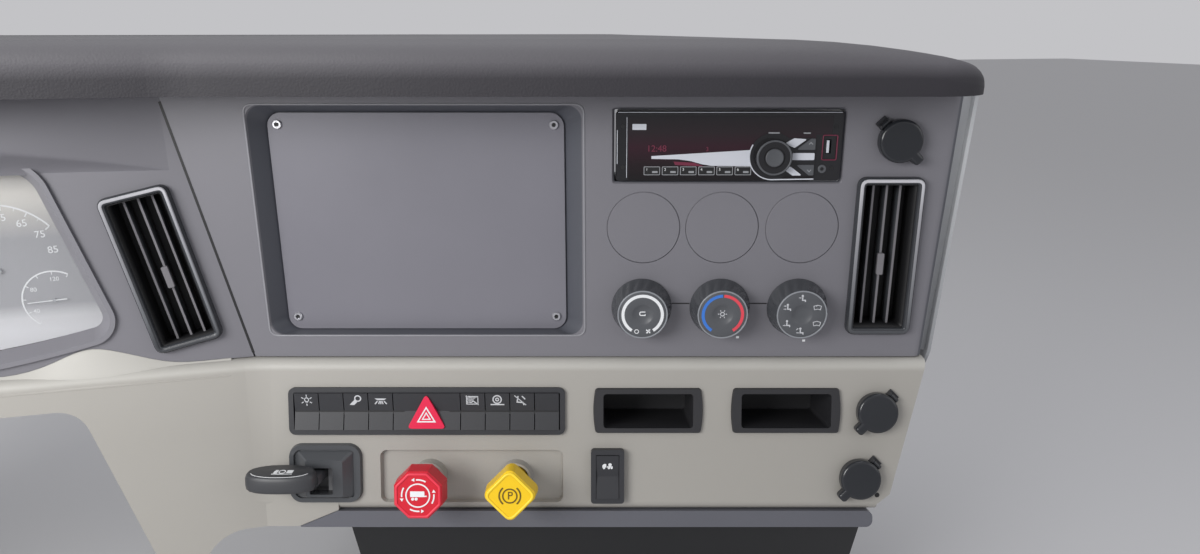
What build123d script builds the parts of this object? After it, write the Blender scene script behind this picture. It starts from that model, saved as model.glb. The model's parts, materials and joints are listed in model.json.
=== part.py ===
from build123d import *

import os
from math import atan, cos, degrees, pi, radians, sin, tan

os.makedirs("parts", exist_ok=True)

# Driver's dashboard of a semi truck: an instrument wing that faces straight back and a centre
# stack turned towards the driver. +X is to the passenger side, +Y forward, +Z up. The origin is
# the middle of the cowl bracket's bolt pattern, on its front face.

# Layout in plan
STACK_TURN = 14.0
CREASE_X = 20.0
FACE_Y = -310.0
DATUM_Z = -90.0
CREASE_S = -310.0
CREASE_RUN = 52.0
CREASE_RISE = 228.0
WING_LENGTH = 640.0
CLUSTER_T = -WING_LENGTH / 2

# Panels
WALL = 3.0
PANEL_TOP = 233.7
PANEL_FOOT = 0.3
CREASE_GAP = 1.5
TONGUE = (10.0, 8.0, 2.5)
BOSS_RADIUS = 4.0
BOSS_BORE = 1.6
BOSS_LENGTH = 12.0
STACK_RIGHT_FOOT = 290.0
STACK_RIGHT_TOP = 301.0
SIDE_RETURN = 16.0
SIDE_ROUND = 9.0
SEAT_GAP = 0.3

# Light lower panel
LOWER_TILT = 12.0
LEDGE = 10.0
WING_LEDGE = 11.0
LEDGE_DROP = 1.0
LEDGE_DEPTH = 27.0
LOWER_LENGTH = 129.0
LOWER_RIGHT_TOP = 291.0
LOWER_RIGHT_FOOT = 259.0
BEND_RADIUS = 90.0
LOWER_RETURN = 14.0
RIDGE_ROUND = 9.0
FOOT_ROUND = 8.0
FOOT_CORNER = 9.0

turn = radians(STACK_TURN)
tilt = radians(LOWER_TILT)
RIGHT = Vector(cos(turn), -sin(turn), 0)
OUT = Vector(-sin(turn), -cos(turn), 0)
UP = Vector(0, 0, 1)
CREASE_FOOT = Vector(CREASE_X, FACE_Y, DATUM_Z)
DATUM = CREASE_FOOT - RIGHT * CREASE_S
WING_LEFT_X = CREASE_X - WING_LENGTH

wing_lean = atan(CREASE_RUN * sin(turn) / CREASE_RISE)
stack_face = Plane(origin=DATUM, x_dir=RIGHT, z_dir=OUT)
lower_normal = OUT * cos(tilt) + UP * sin(tilt)
lower_face = Plane(origin=DATUM + OUT * LEDGE - UP * LEDGE, x_dir=RIGHT, z_dir=lower_normal)
wing_face = Plane(origin=CREASE_FOOT, x_dir=(1, 0, 0), z_dir=(0, -cos(wing_lean), sin(wing_lean)))
wing_lower = Plane(
    origin=CREASE_FOOT + Vector(0, -WING_LEDGE, -LEDGE),
    x_dir=(1, 0, 0),
    z_dir=(0, -cos(tilt), sin(tilt)),
)


towards_driver = Axis(DATUM, OUT)


def stack_point(s, out, h):
    """A point by its distance right of, out of and above the middle of the stack's foot."""
    return DATUM + RIGHT * s + OUT * out + UP * h


def crease_s(h):
    """The crease's place on the stack at a height."""
    return CREASE_S - CREASE_RUN * h / CREASE_RISE


def crease_t(v):
    """The crease's place on the wing at a height up its face."""
    return -CREASE_RUN * cos(turn) * v * cos(wing_lean) / CREASE_RISE


def lower_section(down, lift):
    """How far out and up a point is that lies down the lower face and off it."""
    out = LEDGE + down * sin(tilt) + lift * cos(tilt)
    return out, -LEDGE - down * cos(tilt) + lift * sin(tilt)


def turned(plane, x, y, angle=0.0, lift=0.0):
    """A plane at a point of another one, turned about its normal."""
    origin = plane.from_local_coords(Vector(x, y, lift))
    x_dir = plane.x_dir.rotate(Axis((0, 0, 0), plane.z_dir), angle)
    return Plane(origin=origin, x_dir=x_dir, z_dir=plane.z_dir)


def plan_path(wing_out, stack_out, left_x, right_s, radius):
    """The dashboard's line in plan: along the wing, round the bend and along the stack."""
    wing_y = FACE_Y - wing_out
    corner_s = (DATUM.Y - wing_y - cos(turn) * stack_out) / sin(turn)
    corner = stack_point(corner_s, stack_out, 0)
    end = stack_point(right_s, stack_out, 0)
    FilletPolyline((left_x, wing_y), (corner.X, corner.Y), (end.X, end.Y), radius=radius)
    return (left_x, wing_y), (end.X, end.Y)


def rounded_span(box, radius, grow=0.0):
    """A rounded rectangle from its left, bottom, right and top."""
    left, bottom, right, top = box
    with Locations(((left + right) / 2, (bottom + top) / 2)):
        RectangleRounded(right - left + 2 * grow, top - bottom + 2 * grow, radius + grow)


def screw_bosses(back_plane, spots):
    """Bored screw bosses on the back of a panel."""
    with BuildPart() as bosses:
        with BuildSketch(back_plane):
            with Locations(*spots):
                Circle(BOSS_RADIUS)
                Circle(BOSS_BORE, mode=Mode.SUBTRACT)
        extrude(amount=-BOSS_LENGTH)
    return bosses.part


def bowed(width, height, bow, corner):
    """A rectangle whose ends bulge outwards, with rounded corners."""
    half_w = width / 2 - bow
    half_h = height / 2
    with BuildSketch(Plane.XY, mode=Mode.PRIVATE) as outline:
        with BuildLine():
            ThreePointArc((half_w, -half_h), (half_w + bow, 0), (half_w, half_h))
            Line((half_w, half_h), (-half_w, half_h))
            ThreePointArc((-half_w, half_h), (-half_w - bow, 0), (-half_w, -half_h))
            Line((-half_w, -half_h), (half_w, -half_h))
        make_face()
        fillet(outline.vertices(), corner)
    return outline.sketch


def save(part, name):
    part.label = name
    export_step(part, f"parts/{name}.step")


# Top pad: a soft lip over the panels and a deck that runs to the windscreen
PAD_WING_OUT = 62.0
PAD_STACK_OUT = 66.0
PAD_WALL = 5.0
PAD_FOOT = 234.0
PAD_CROWN = 275.0
PAD_DEPTH = 400.0
PAD_BOW = 30.0
PAD_NOSE_ROUND = 17.0
PAD_CORNER = 45.0
PAD_BEND = 120.0
PAD_LEFT_X = WING_LEFT_X - 8.0
PAD_RIGHT_S = 311.0
PAD_SHOULDER_S = 120.0
PAD_TIP = 252.0
PAD_LIP_DEPTH = 82.0
PAD_SPLAY = 12.0

GRILLE_LENGTH = 560.0
GRILLE_WIDTH = 34.0
GRILLE_X = -60.0
GRILLE_SETBACK = 58.0
GRILLE_LOUVRES = 34
pad_rear_y = FACE_Y - PAD_WING_OUT + PAD_DEPTH
pad_right_x = stack_point(PAD_RIGHT_S, PAD_STACK_OUT, 0).X


def pad_solid(inset):
    """The pad's outside, or the space inside it, one wall further in."""
    with BuildPart() as solid:
        with BuildSketch(Plane.XY.offset(DATUM_Z + PAD_FOOT + inset)) as footprint:
            with BuildLine() as plan:
                rear_y = pad_rear_y - 2 * inset
                start, end = plan_path(
                    PAD_WING_OUT - inset,
                    PAD_STACK_OUT - inset,
                    PAD_LEFT_X + inset,
                    PAD_RIGHT_S - inset,
                    PAD_BEND,
                )
                rear_right = (pad_right_x + PAD_SPLAY - inset, rear_y - PAD_BOW)
                rear_left = (PAD_LEFT_X + inset, rear_y - PAD_BOW)
                Line(end, rear_right)
                ThreePointArc(rear_right, (GRILLE_X, rear_y), rear_left)
                Line(rear_left, start)
            make_face(plan.edges())
            fillet(footprint.vertices().sort_by_distance(end)[0], PAD_CORNER - inset)
            fillet(footprint.vertices().sort_by_distance(start)[0], PAD_NOSE_ROUND * 2 - inset)
        extrude(amount=PAD_CROWN - PAD_FOOT)
        with BuildSketch(stack_face.offset(PAD_STACK_OUT - inset)):
            crown = PAD_CROWN - inset
            tip = PAD_TIP - inset
            with BuildLine() as shoulder:
                slope = TangentArc((PAD_SHOULDER_S, crown), (PAD_RIGHT_S, tip), tangent=(1, 0))
                far_foot = (slope @ 1) + (slope % 1) * PAD_DEPTH
                Line(slope @ 1, far_foot)
                Polyline(
                    far_foot,
                    (far_foot.X, PAD_CROWN * 2),
                    (-PAD_DEPTH * 4, PAD_CROWN * 2),
                    (-PAD_DEPTH * 4, crown),
                    (PAD_SHOULDER_S, crown),
                )
            make_face(shoulder.edges())
        extrude(amount=PAD_DEPTH * 2, dir=(0, 1, 0), both=True, mode=Mode.SUBTRACT)
        front_y = FACE_Y - PAD_WING_OUT + inset + 1
        foot_z = DATUM_Z + PAD_FOOT + inset + 1
        front = solid.edges().filter_by(lambda edge: edge.center().Y < front_y and edge.center().Z > foot_z)
        level = front.filter_by(lambda edge: abs(edge.tangent_at(0.5).Z) < 0.5)
        crest = level.filter_by(lambda edge: edge.length > PAD_NOSE_ROUND * 2)
        fillet(crest, PAD_NOSE_ROUND - inset * 2)
    return solid.part


with BuildPart() as top_pad:
    add(pad_solid(0))
    add(pad_solid(PAD_WALL), mode=Mode.SUBTRACT)
    with BuildSketch(Plane.XY.offset(DATUM_Z + PAD_FOOT)):
        with BuildLine() as mouth:
            start, end = plan_path(
                PAD_WING_OUT - PAD_LIP_DEPTH,
                PAD_STACK_OUT - PAD_LIP_DEPTH,
                PAD_LEFT_X + PAD_WALL,
                PAD_RIGHT_S - PAD_WALL * 6,
                PAD_BEND,
            )
            Polyline(end, (end[0], pad_rear_y * 2), (start[0], pad_rear_y * 2), start)
        make_face(mouth.edges())
    extrude(amount=PAD_WALL + 1, both=True, mode=Mode.SUBTRACT)
    with BuildSketch(Plane.XY.offset(DATUM_Z + PAD_CROWN)):
        with Locations((GRILLE_X, pad_rear_y - GRILLE_SETBACK)):
            SlotOverall(GRILLE_LENGTH, GRILLE_WIDTH)
    extrude(amount=-PAD_WALL * 3, mode=Mode.SUBTRACT)

# Defroster grille: a frame with cross louvres, dropped into the deck's slot
with BuildPart() as defroster_grille:
    grille_plane = Plane(origin=(GRILLE_X, pad_rear_y - GRILLE_SETBACK, DATUM_Z + PAD_CROWN))
    with BuildSketch(grille_plane):
        SlotOverall(GRILLE_LENGTH - 2 * SEAT_GAP, GRILLE_WIDTH - 2 * SEAT_GAP)
        SlotOverall(GRILLE_LENGTH - 4 * WALL, GRILLE_WIDTH - 4 * WALL, mode=Mode.SUBTRACT)
        with GridLocations((GRILLE_LENGTH - 2 * GRILLE_WIDTH) / GRILLE_LOUVRES, 0, GRILLE_LOUVRES, 1):
            Rectangle(WALL, GRILLE_WIDTH - 2 * WALL)
    extrude(amount=-PAD_WALL)

save(top_pad.part, "top_pad")
save(defroster_grille.part, "defroster_grille")

# Centre panel: the dark face of the stack, with a deep bay on its left
BAY_MOUTH = (-293.0, 20.7, -14.0, 222.2)
BAY_FLOOR = (-281.0, 21.5, -30.0, 215.0)
BAY_DEPTH = 16.0
BAY_ROUND = 12.0
BAY_RIM = 16.0
COVER_THICK = 2.5
COVER_GAP = 0.5

RADIO_MOUTH = (10.0, 156.7, 204.0, 220.6)
RADIO_CHAMFER = 2.0
RADIO_ROUND = 3.0

BLANKS = ((37.3, 118.6), (104.6, 118.6), (173.1, 118.6))
BLANK_RADIUS = 31.2
BLANK_FLANGE = 1.6
BLANK_CHAMFER = 0.6

KNOBS = ((36.6, 47.0), (105.4, 47.0), (173.4, 47.0))
KNOB_RADIUS = 26.5
KNOB_HEIGHT = 32.0
SHAFT_RADIUS = 3.0
RUNNING_GAP = 0.05
SHAFT_DEPTH = 18.0

VENT_WIDTH = 51.5
VENT_HEIGHT = 137.5
VENT_LIP = 7.0
VENT_PROUD = 5.0
VENT_SLEEVE = 30.0
VENT_ROUND = 7.0
VANE_THICK = 2.0
VANE_DEPTH = 22.0
VANES = 3
SLIDER_WIDTH = 4.6
SLIDER_LENGTH = 19.0
SLIDER_Y = -8.0
SLIDER_BACK = 6.0
SLIDER_PROUD = 1.6
STACK_VENT = (245.4, 93.2)
WING_VENT_OFFSET = 254.75
WING_VENT_V = 84.5
WING_VENT_LEAN = 12.5

OUTLET_BODY = 14.0
OUTLET_FLANGE = 17.0
OUTLET_BORE = 10.6
OUTLET_DEPTH = 42.0
OUTLET_RIM = 2.5
CAP_RADIUS = 18.0
CAP_HEIGHT = 8.0
UPPER_OUTLET = (247.6, 193.6)
CENTRE_BOSSES = ((-3.0, 30.0), (-3.0, 200.0), (212.0, 30.0), (212.0, 200.0))

with BuildPart() as centre_panel:
    with BuildSketch(stack_face):
        Polygon(
            (crease_s(PANEL_FOOT) + CREASE_GAP / 2, PANEL_FOOT),
            (STACK_RIGHT_FOOT, PANEL_FOOT),
            (STACK_RIGHT_TOP, PANEL_TOP),
            (crease_s(PANEL_TOP) + CREASE_GAP / 2, PANEL_TOP),
            align=None,
        )
    extrude(amount=-WALL)
    with BuildSketch(stack_face):
        Polygon(
            (STACK_RIGHT_FOOT - WALL, PANEL_FOOT),
            (STACK_RIGHT_FOOT, PANEL_FOOT),
            (STACK_RIGHT_TOP, PANEL_TOP),
            (STACK_RIGHT_TOP - WALL, PANEL_TOP),
            align=None,
        )
    extrude(amount=-SIDE_RETURN)
    edge_middle = (STACK_RIGHT_FOOT + STACK_RIGHT_TOP) / 2
    outer_corner = stack_point(edge_middle, 0, PANEL_TOP / 2)
    inner_corner = stack_point(edge_middle - WALL, -WALL, PANEL_TOP / 2)
    fillet(centre_panel.edges().sort_by_distance(outer_corner)[0], SIDE_ROUND)
    fillet(centre_panel.edges().sort_by_distance(inner_corner)[0], SIDE_ROUND - WALL)
    with BuildSketch(stack_face.offset(-WALL)):
        rounded_span(BAY_MOUTH, BAY_ROUND, WALL)
    with BuildSketch(stack_face.offset(-BAY_DEPTH - WALL)):
        rounded_span(BAY_FLOOR, BAY_ROUND, WALL)
    loft()
    with BuildSketch(stack_face):
        rounded_span(BAY_MOUTH, BAY_ROUND)
    with BuildSketch(stack_face.offset(-BAY_DEPTH)):
        rounded_span(BAY_FLOOR, BAY_ROUND)
    loft(mode=Mode.SUBTRACT)
    with BuildSketch(stack_face.offset(-BAY_DEPTH)):
        rounded_span(BAY_FLOOR, BAY_ROUND + BAY_RIM, -BAY_RIM)
    extrude(amount=-WALL, mode=Mode.SUBTRACT)
    with BuildSketch(stack_face):
        rounded_span(RADIO_MOUTH, RADIO_ROUND)
    extrude(amount=-RADIO_CHAMFER, taper=45, mode=Mode.SUBTRACT)
    with BuildSketch(stack_face):
        rounded_span(RADIO_MOUTH, RADIO_ROUND, -RADIO_CHAMFER)
        with Locations(*BLANKS):
            Circle(BLANK_RADIUS + SEAT_GAP)
        with Locations(*KNOBS):
            Circle(SHAFT_RADIUS * 1.5)
        with Locations(STACK_VENT):
            RectangleRounded(VENT_WIDTH - VENT_LIP, VENT_HEIGHT - VENT_LIP, VENT_ROUND - VENT_LIP / 2)
        with Locations(UPPER_OUTLET):
            Circle(OUTLET_BODY + SEAT_GAP)
    extrude(amount=-WALL, mode=Mode.SUBTRACT)
    add(screw_bosses(stack_face.offset(-WALL), CENTRE_BOSSES))
    tongue_left, tongue_right, tongue_thick = TONGUE
    with BuildSketch(Plane(origin=stack_point(crease_s(PANEL_FOOT), 0, PANEL_FOOT))):
        Polygon(
            (-tongue_left, WALL + SEAT_GAP),
            (CREASE_GAP * 1.5, WALL + SEAT_GAP),
            (CREASE_GAP * 1.5, WALL / 3),
            (tongue_right, 0),
            (tongue_right, WALL + SEAT_GAP + tongue_thick),
            (-tongue_left, WALL + SEAT_GAP + tongue_thick),
            align=None,
        )
    crease_foot = stack_point(crease_s(PANEL_FOOT), 0, PANEL_FOOT)
    crease_top = stack_point(crease_s(PANEL_TOP), 0, PANEL_TOP)
    extrude(amount=(crease_top - crease_foot).length, dir=(crease_top - crease_foot).normalized())

# Blank plate over the display bay
with BuildPart() as cover_plate:
    with BuildSketch(stack_face.offset(-BAY_DEPTH)):
        rounded_span(BAY_FLOOR, BAY_ROUND, -COVER_GAP)
    extrude(amount=COVER_THICK)

# Blanking plugs in the gauge holes, flush with the face
with BuildPart() as gauge_blanks:
    with BuildSketch(stack_face):
        with Locations(*BLANKS):
            Circle(BLANK_RADIUS)
    extrude(amount=-WALL)
    chamfer(gauge_blanks.edges().group_by(towards_driver)[-1], BLANK_CHAMFER)
    with BuildSketch(stack_face.offset(-WALL)):
        with Locations(*BLANKS):
            Circle(BLANK_RADIUS + BLANK_FLANGE)
    extrude(amount=-WALL / 2)

save(centre_panel.part, "centre_panel")
save(cover_plate.part, "cover_plate")
save(gauge_blanks.part, "gauge_blanks")

# Radio
RADIO_FACE = (13.0, 159.7, 201.0, 217.7)
RADIO_PROUD = 3.0
RADIO_FACE_DEPTH = 14.0
RADIO_CHASSIS = (178.0, 50.0, 140.0)
RADIO_KNOB = (143.5, 180.5)
RADIO_HUB = (19.6, 178.8, 1.0)
RADIO_KNOB_RADIUS = 15.0
RADIO_KNOB_HEIGHT = 8.0
RADIO_BUTTON = 7.8
RADIO_GROOVE = 1.0
USB_FRAME = (185.0, 177.7, 196.4, 197.7)
USB_PORT = (187.5, 182.4, 192.0, 194.4)

radio_middle = ((RADIO_FACE[0] + RADIO_FACE[2]) / 2, (RADIO_FACE[1] + RADIO_FACE[3]) / 2)

with BuildPart() as radio_face:
    with BuildSketch(stack_face.offset(RADIO_PROUD)):
        rounded_span(RADIO_FACE, RADIO_ROUND)
    extrude(amount=-RADIO_FACE_DEPTH)
    front_edges = radio_face.edges().filter_by(
        lambda edge: abs(stack_face.to_local_coords(edge.center()).Z - RADIO_PROUD) < 0.01
    )
    chamfer(front_edges, 1.0)
    hub_radius, hub_right, hub_proud = RADIO_HUB
    hub_bottom = RADIO_KNOB[1] - hub_radius * 0.82
    hub_top = RADIO_KNOB[1] + hub_radius * 0.78
    with BuildSketch(stack_face.offset(RADIO_PROUD)):
        with Locations(RADIO_KNOB):
            Circle(hub_radius)
        rounded_span((RADIO_KNOB[0], hub_bottom, hub_right, hub_top), RADIO_ROUND)
    extrude(amount=hub_proud)
    with BuildSketch(stack_face.offset(RADIO_PROUD)):
        rounded_span(USB_FRAME, 1)
    extrude(amount=-RADIO_GROOVE, mode=Mode.SUBTRACT)
    with BuildSketch(stack_face.offset(RADIO_PROUD)):
        rounded_span(USB_PORT, 0.5)
    extrude(amount=-RADIO_FACE_DEPTH / 2, mode=Mode.SUBTRACT)

with BuildPart() as radio_chassis:
    with BuildSketch(stack_face.offset(RADIO_PROUD - RADIO_FACE_DEPTH)):
        with Locations(radio_middle):
            Rectangle(RADIO_CHASSIS[0], RADIO_CHASSIS[1])
    extrude(amount=-RADIO_CHASSIS[2])

with BuildPart() as radio_knob:
    with BuildSketch(stack_face.offset(RADIO_PROUD + RADIO_HUB[2])):
        with Locations(RADIO_KNOB):
            Circle(RADIO_KNOB_RADIUS)
    extrude(amount=RADIO_KNOB_HEIGHT)
    chamfer(radio_knob.edges().filter_by(GeomType.CIRCLE).sort_by(towards_driver)[-1], 1.5)
    with BuildSketch(stack_face.offset(RADIO_PROUD + RADIO_HUB[2] + RADIO_KNOB_HEIGHT)):
        with Locations(RADIO_KNOB):
            Circle(RADIO_BUTTON + RADIO_GROOVE)
            Circle(RADIO_BUTTON, mode=Mode.SUBTRACT)
    extrude(amount=-RADIO_GROOVE, mode=Mode.SUBTRACT)

save(radio_face.part, "radio_face")
save(radio_chassis.part, "radio_chassis")
save(radio_knob.part, "radio_knob")

# Climate knobs with fluted grips, and the control box that their shafts turn in
CLIMATE_BOX = (12.0, 22.0, 198.0, 72.0)
CLIMATE_DEPTH = 45.0
KNOB_LIFT = 1.0
KNOB_SKIRT = 5.0
KNOB_GRIP_FOOT = 24.5
KNOB_GRIP_TOP = 22.5
GRIP_NOTCHES = 20
NOTCH_DEPTH = 1.2
NOTCH_SHARES = ((0.0, 0.0), (0.55, 0.0), (0.68, NOTCH_DEPTH), (0.87, NOTCH_DEPTH))
KNOB_DISH = 0.8
DISH_RADIUS = 20.3
DIMPLE_RADIUS = 8.3
DIMPLE_DEPTH = 2.0
dimple_ball = (DIMPLE_RADIUS**2 + DIMPLE_DEPTH**2) / (2 * DIMPLE_DEPTH)


def notched(radius):
    """The corners of a round grip with shallow notches all round."""
    step = 2 * pi / GRIP_NOTCHES
    corners = []
    for notch in range(GRIP_NOTCHES):
        for share, depth in NOTCH_SHARES:
            angle = (notch + share) * step
            corners.append(((radius - depth) * cos(angle), (radius - depth) * sin(angle)))
    return corners


with BuildPart() as climate_control:
    with BuildSketch(stack_face.offset(-WALL)):
        rounded_span(CLIMATE_BOX, RADIO_ROUND)
    extrude(amount=-CLIMATE_DEPTH)
    with BuildSketch(stack_face.offset(-WALL)):
        with Locations(*KNOBS):
            Circle(SHAFT_RADIUS + RUNNING_GAP)
    extrude(amount=-SHAFT_DEPTH - 1, mode=Mode.SUBTRACT)

save(climate_control.part, "climate_control")

for number, (knob_s, knob_h) in enumerate(KNOBS, start=1):
    knob_plane = turned(stack_face, knob_s, knob_h)
    with BuildPart() as climate_knob:
        with BuildSketch(knob_plane.offset(-WALL - SHAFT_DEPTH)):
            Circle(SHAFT_RADIUS)
        extrude(amount=WALL + SHAFT_DEPTH + KNOB_LIFT)
        with BuildSketch(knob_plane.offset(KNOB_LIFT)):
            Circle(KNOB_RADIUS)
        extrude(amount=KNOB_SKIRT)
        with BuildSketch(knob_plane.offset(KNOB_LIFT + KNOB_SKIRT)):
            Polygon(*notched(KNOB_GRIP_FOOT), align=None)
        with BuildSketch(knob_plane.offset(KNOB_HEIGHT)):
            Polygon(*notched(KNOB_GRIP_TOP), align=None)
        loft(ruled=True)
        with BuildSketch(knob_plane.offset(KNOB_HEIGHT)):
            Circle(DISH_RADIUS)
        extrude(amount=-KNOB_DISH, mode=Mode.SUBTRACT)
        with Locations(knob_plane.offset(KNOB_HEIGHT - KNOB_DISH - DIMPLE_DEPTH + dimple_ball)):
            Sphere(dimple_ball, mode=Mode.SUBTRACT)
    save(climate_knob.part, f"climate_knob_{number}")

# Air vents: a frame with a sleeve, upright vanes on a tie bar, and a duct to a round spigot
DUCT_LENGTH = 75.0
DUCT_STRAIGHT = 25.0
SPIGOT_RADIUS = 28.0
SPIGOT_LENGTH = 22.0
DUCT_END = 60.0
DUCT_WALL = 2.0
VANE_GAP = 0.2
vent_inner = (VENT_WIDTH - 2 * VENT_LIP, VENT_HEIGHT - 2 * VENT_LIP)
sleeve_outer = (VENT_WIDTH - VENT_LIP - 2 * SEAT_GAP, VENT_HEIGHT - VENT_LIP - 2 * SEAT_GAP)
duct_bore = (sleeve_outer[0] - 2 * DUCT_WALL, sleeve_outer[1] - 2 * DUCT_WALL)
VENTS = (
    ("outer", turned(wing_face, CLUSTER_T - WING_VENT_OFFSET, WING_VENT_V, -WING_VENT_LEAN)),
    ("inner", turned(wing_face, CLUSTER_T + WING_VENT_OFFSET, WING_VENT_V, WING_VENT_LEAN)),
    ("stack", turned(stack_face, *STACK_VENT)),
)

for name, vent_plane in VENTS:
    with BuildPart() as vent_frame:
        with BuildSketch(vent_plane):
            RectangleRounded(VENT_WIDTH, VENT_HEIGHT, VENT_ROUND)
        extrude(amount=VENT_PROUD, taper=20)
        with BuildSketch(vent_plane):
            RectangleRounded(*sleeve_outer, VENT_ROUND - VENT_LIP / 2)
        extrude(amount=-VENT_SLEEVE)
        with BuildSketch(vent_plane.offset(VENT_PROUD)):
            RectangleRounded(*vent_inner, VENT_ROUND / 2)
        extrude(amount=-VENT_PROUD - VENT_SLEEVE, mode=Mode.SUBTRACT)
    with BuildPart() as vent_vanes:
        with BuildSketch(vent_plane):
            with GridLocations(vent_inner[0] / (VANES + 1), 0, VANES, 1):
                Rectangle(VANE_THICK, vent_inner[1] - 2 * VANE_GAP)
        extrude(amount=-VANE_DEPTH)
        with BuildSketch(vent_plane.offset(-VANE_DEPTH + VANE_THICK)):
            Rectangle(vent_inner[0] - 2 * VANE_GAP, 4 * VANE_THICK)
        extrude(amount=-VANE_THICK)
        with BuildSketch(vent_plane.offset(-SLIDER_BACK)):
            with Locations((0, SLIDER_Y)):
                Rectangle(SLIDER_WIDTH, SLIDER_LENGTH)
                Rectangle(VANE_THICK, SLIDER_LENGTH, mode=Mode.SUBTRACT)
        extrude(amount=SLIDER_BACK + SLIDER_PROUD)
        with BuildSketch(vent_plane):
            with Locations((0, SLIDER_Y)):
                RectangleRounded(SLIDER_WIDTH, SLIDER_LENGTH, 1)
        extrude(amount=SLIDER_PROUD)
    with BuildPart() as air_duct:
        duct_plane = vent_plane.offset(-VENT_SLEEVE)
        shoulder_plane = duct_plane.offset(-DUCT_STRAIGHT)
        end_plane = duct_plane.offset(-DUCT_LENGTH)
        with BuildSketch(duct_plane):
            Rectangle(*sleeve_outer)
        extrude(amount=-DUCT_STRAIGHT)
        with BuildSketch(shoulder_plane):
            Rectangle(*sleeve_outer)
        with BuildSketch(end_plane):
            Rectangle(DUCT_END, DUCT_END)
        loft(ruled=True)
        with BuildSketch(duct_plane):
            Rectangle(*duct_bore)
        extrude(amount=-DUCT_STRAIGHT, mode=Mode.SUBTRACT)
        with BuildSketch(shoulder_plane):
            Rectangle(*duct_bore)
        with BuildSketch(end_plane.offset(DUCT_WALL)):
            Rectangle(DUCT_END - 2 * DUCT_WALL, DUCT_END - 2 * DUCT_WALL)
        loft(ruled=True, mode=Mode.SUBTRACT)
        with BuildSketch(end_plane):
            Circle(SPIGOT_RADIUS)
        extrude(amount=-SPIGOT_LENGTH)
        with BuildSketch(end_plane.offset(DUCT_WALL)):
            Circle(SPIGOT_RADIUS - DUCT_WALL)
        extrude(amount=-SPIGOT_LENGTH - DUCT_WALL, mode=Mode.SUBTRACT)
        with BuildSketch(shoulder_plane):
            Rectangle(*duct_bore)
        extrude(amount=DUCT_WALL)
    save(vent_frame.part, f"{name}_vent_frame")
    save(vent_vanes.part, f"{name}_vent_vanes")
    save(air_duct.part, f"{name}_air_duct")

# Power outlets: a socket through the panel and a hinged cap over its mouth
LOWER_OUTLETS = ((245.9, -36.0), (232.3, -96.5))
HINGE_ARM = 19.5
HINGE_RADIUS = 2.0
HINGE_LIFT = 5.5
CAP_LIFT = 3.0
CAP_TAB = (14.0, 9.0)
CAP_ROUND = 2.8
PIN_RADIUS = 1.0
KNUCKLE_WIDTH = 6.0
EAR_WIDTH = 1.6
EAR_GAP = 0.3
OUTLETS = (
    ("upper", turned(stack_face, *UPPER_OUTLET, -45)),
    ("middle", turned(lower_face, *LOWER_OUTLETS[0], -135)),
    ("lower", turned(lower_face, *LOWER_OUTLETS[1], -135)),
)

for name, outlet_plane in OUTLETS:
    hinge_plane = Plane(
        origin=outlet_plane.from_local_coords((-HINGE_ARM, 0, HINGE_LIFT)),
        x_dir=outlet_plane.x_dir,
        z_dir=outlet_plane.y_dir,
    )
    with BuildPart() as outlet_socket:
        with BuildSketch(outlet_plane):
            Circle(OUTLET_FLANGE)
            with Locations((-HINGE_ARM, 0)):
                Rectangle(4 * HINGE_RADIUS, KNUCKLE_WIDTH + 2 * EAR_WIDTH + 2 * EAR_GAP)
        extrude(amount=OUTLET_RIM)
        for side in (-1, 1):
            ear_offset = side * (KNUCKLE_WIDTH / 2 + EAR_GAP + EAR_WIDTH / 2)
            with BuildSketch(hinge_plane.offset(ear_offset)):
                Circle(HINGE_RADIUS)
                with Locations((0, HINGE_LIFT / 2)):
                    Rectangle(2 * HINGE_RADIUS, HINGE_LIFT)
            extrude(amount=EAR_WIDTH / 2, both=True)
        with BuildSketch(hinge_plane):
            Circle(PIN_RADIUS)
        extrude(amount=KNUCKLE_WIDTH / 2 + EAR_GAP + EAR_WIDTH / 2, both=True)
        with BuildSketch(outlet_plane):
            Circle(OUTLET_BODY)
        extrude(amount=-OUTLET_DEPTH)
        with BuildSketch(outlet_plane.offset(OUTLET_RIM)):
            Circle(OUTLET_BORE)
        extrude(amount=-OUTLET_DEPTH, mode=Mode.SUBTRACT)
    with BuildPart() as outlet_cap:
        with BuildSketch(outlet_plane.offset(CAP_LIFT)):
            Circle(CAP_RADIUS)
            with Locations((CAP_RADIUS, 0)):
                RectangleRounded(CAP_TAB[0], CAP_TAB[1], 3)
        extrude(amount=CAP_HEIGHT)
        rim_edges = outlet_cap.edges().filter_by(
            lambda edge: outlet_plane.to_local_coords(edge.center()).Z > CAP_LIFT + CAP_HEIGHT - 0.01
        )
        fillet(rim_edges, CAP_ROUND)
        with BuildSketch(hinge_plane):
            Circle(HINGE_RADIUS * 1.7)
        extrude(amount=KNUCKLE_WIDTH / 2 + EAR_WIDTH + EAR_GAP * 2, both=True, mode=Mode.SUBTRACT)
        with BuildSketch(hinge_plane):
            Circle(HINGE_RADIUS)
            with Locations((HINGE_RADIUS, 0)):
                Rectangle(3 * HINGE_RADIUS, HINGE_RADIUS)
            Circle(PIN_RADIUS + RUNNING_GAP, mode=Mode.SUBTRACT)
        extrude(amount=KNUCKLE_WIDTH / 2, both=True)
    save(outlet_socket.part, f"{name}_outlet_socket")
    save(outlet_cap.part, f"{name}_outlet_cap")

# Light lower panel: a ledge, a tilted face and a return, swept round the bend
ledge_f = (LEDGE - LEDGE_DROP) * tan(tilt)
foot_f = -LOWER_LENGTH * sin(tilt)
foot_h = -LEDGE - LOWER_LENGTH * cos(tilt)
lower_left_x = WING_LEFT_X


corner_s = LOWER_RIGHT_FOOT + (LOWER_RIGHT_TOP - LOWER_RIGHT_FOOT) * FOOT_CORNER / LOWER_LENGTH


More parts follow.
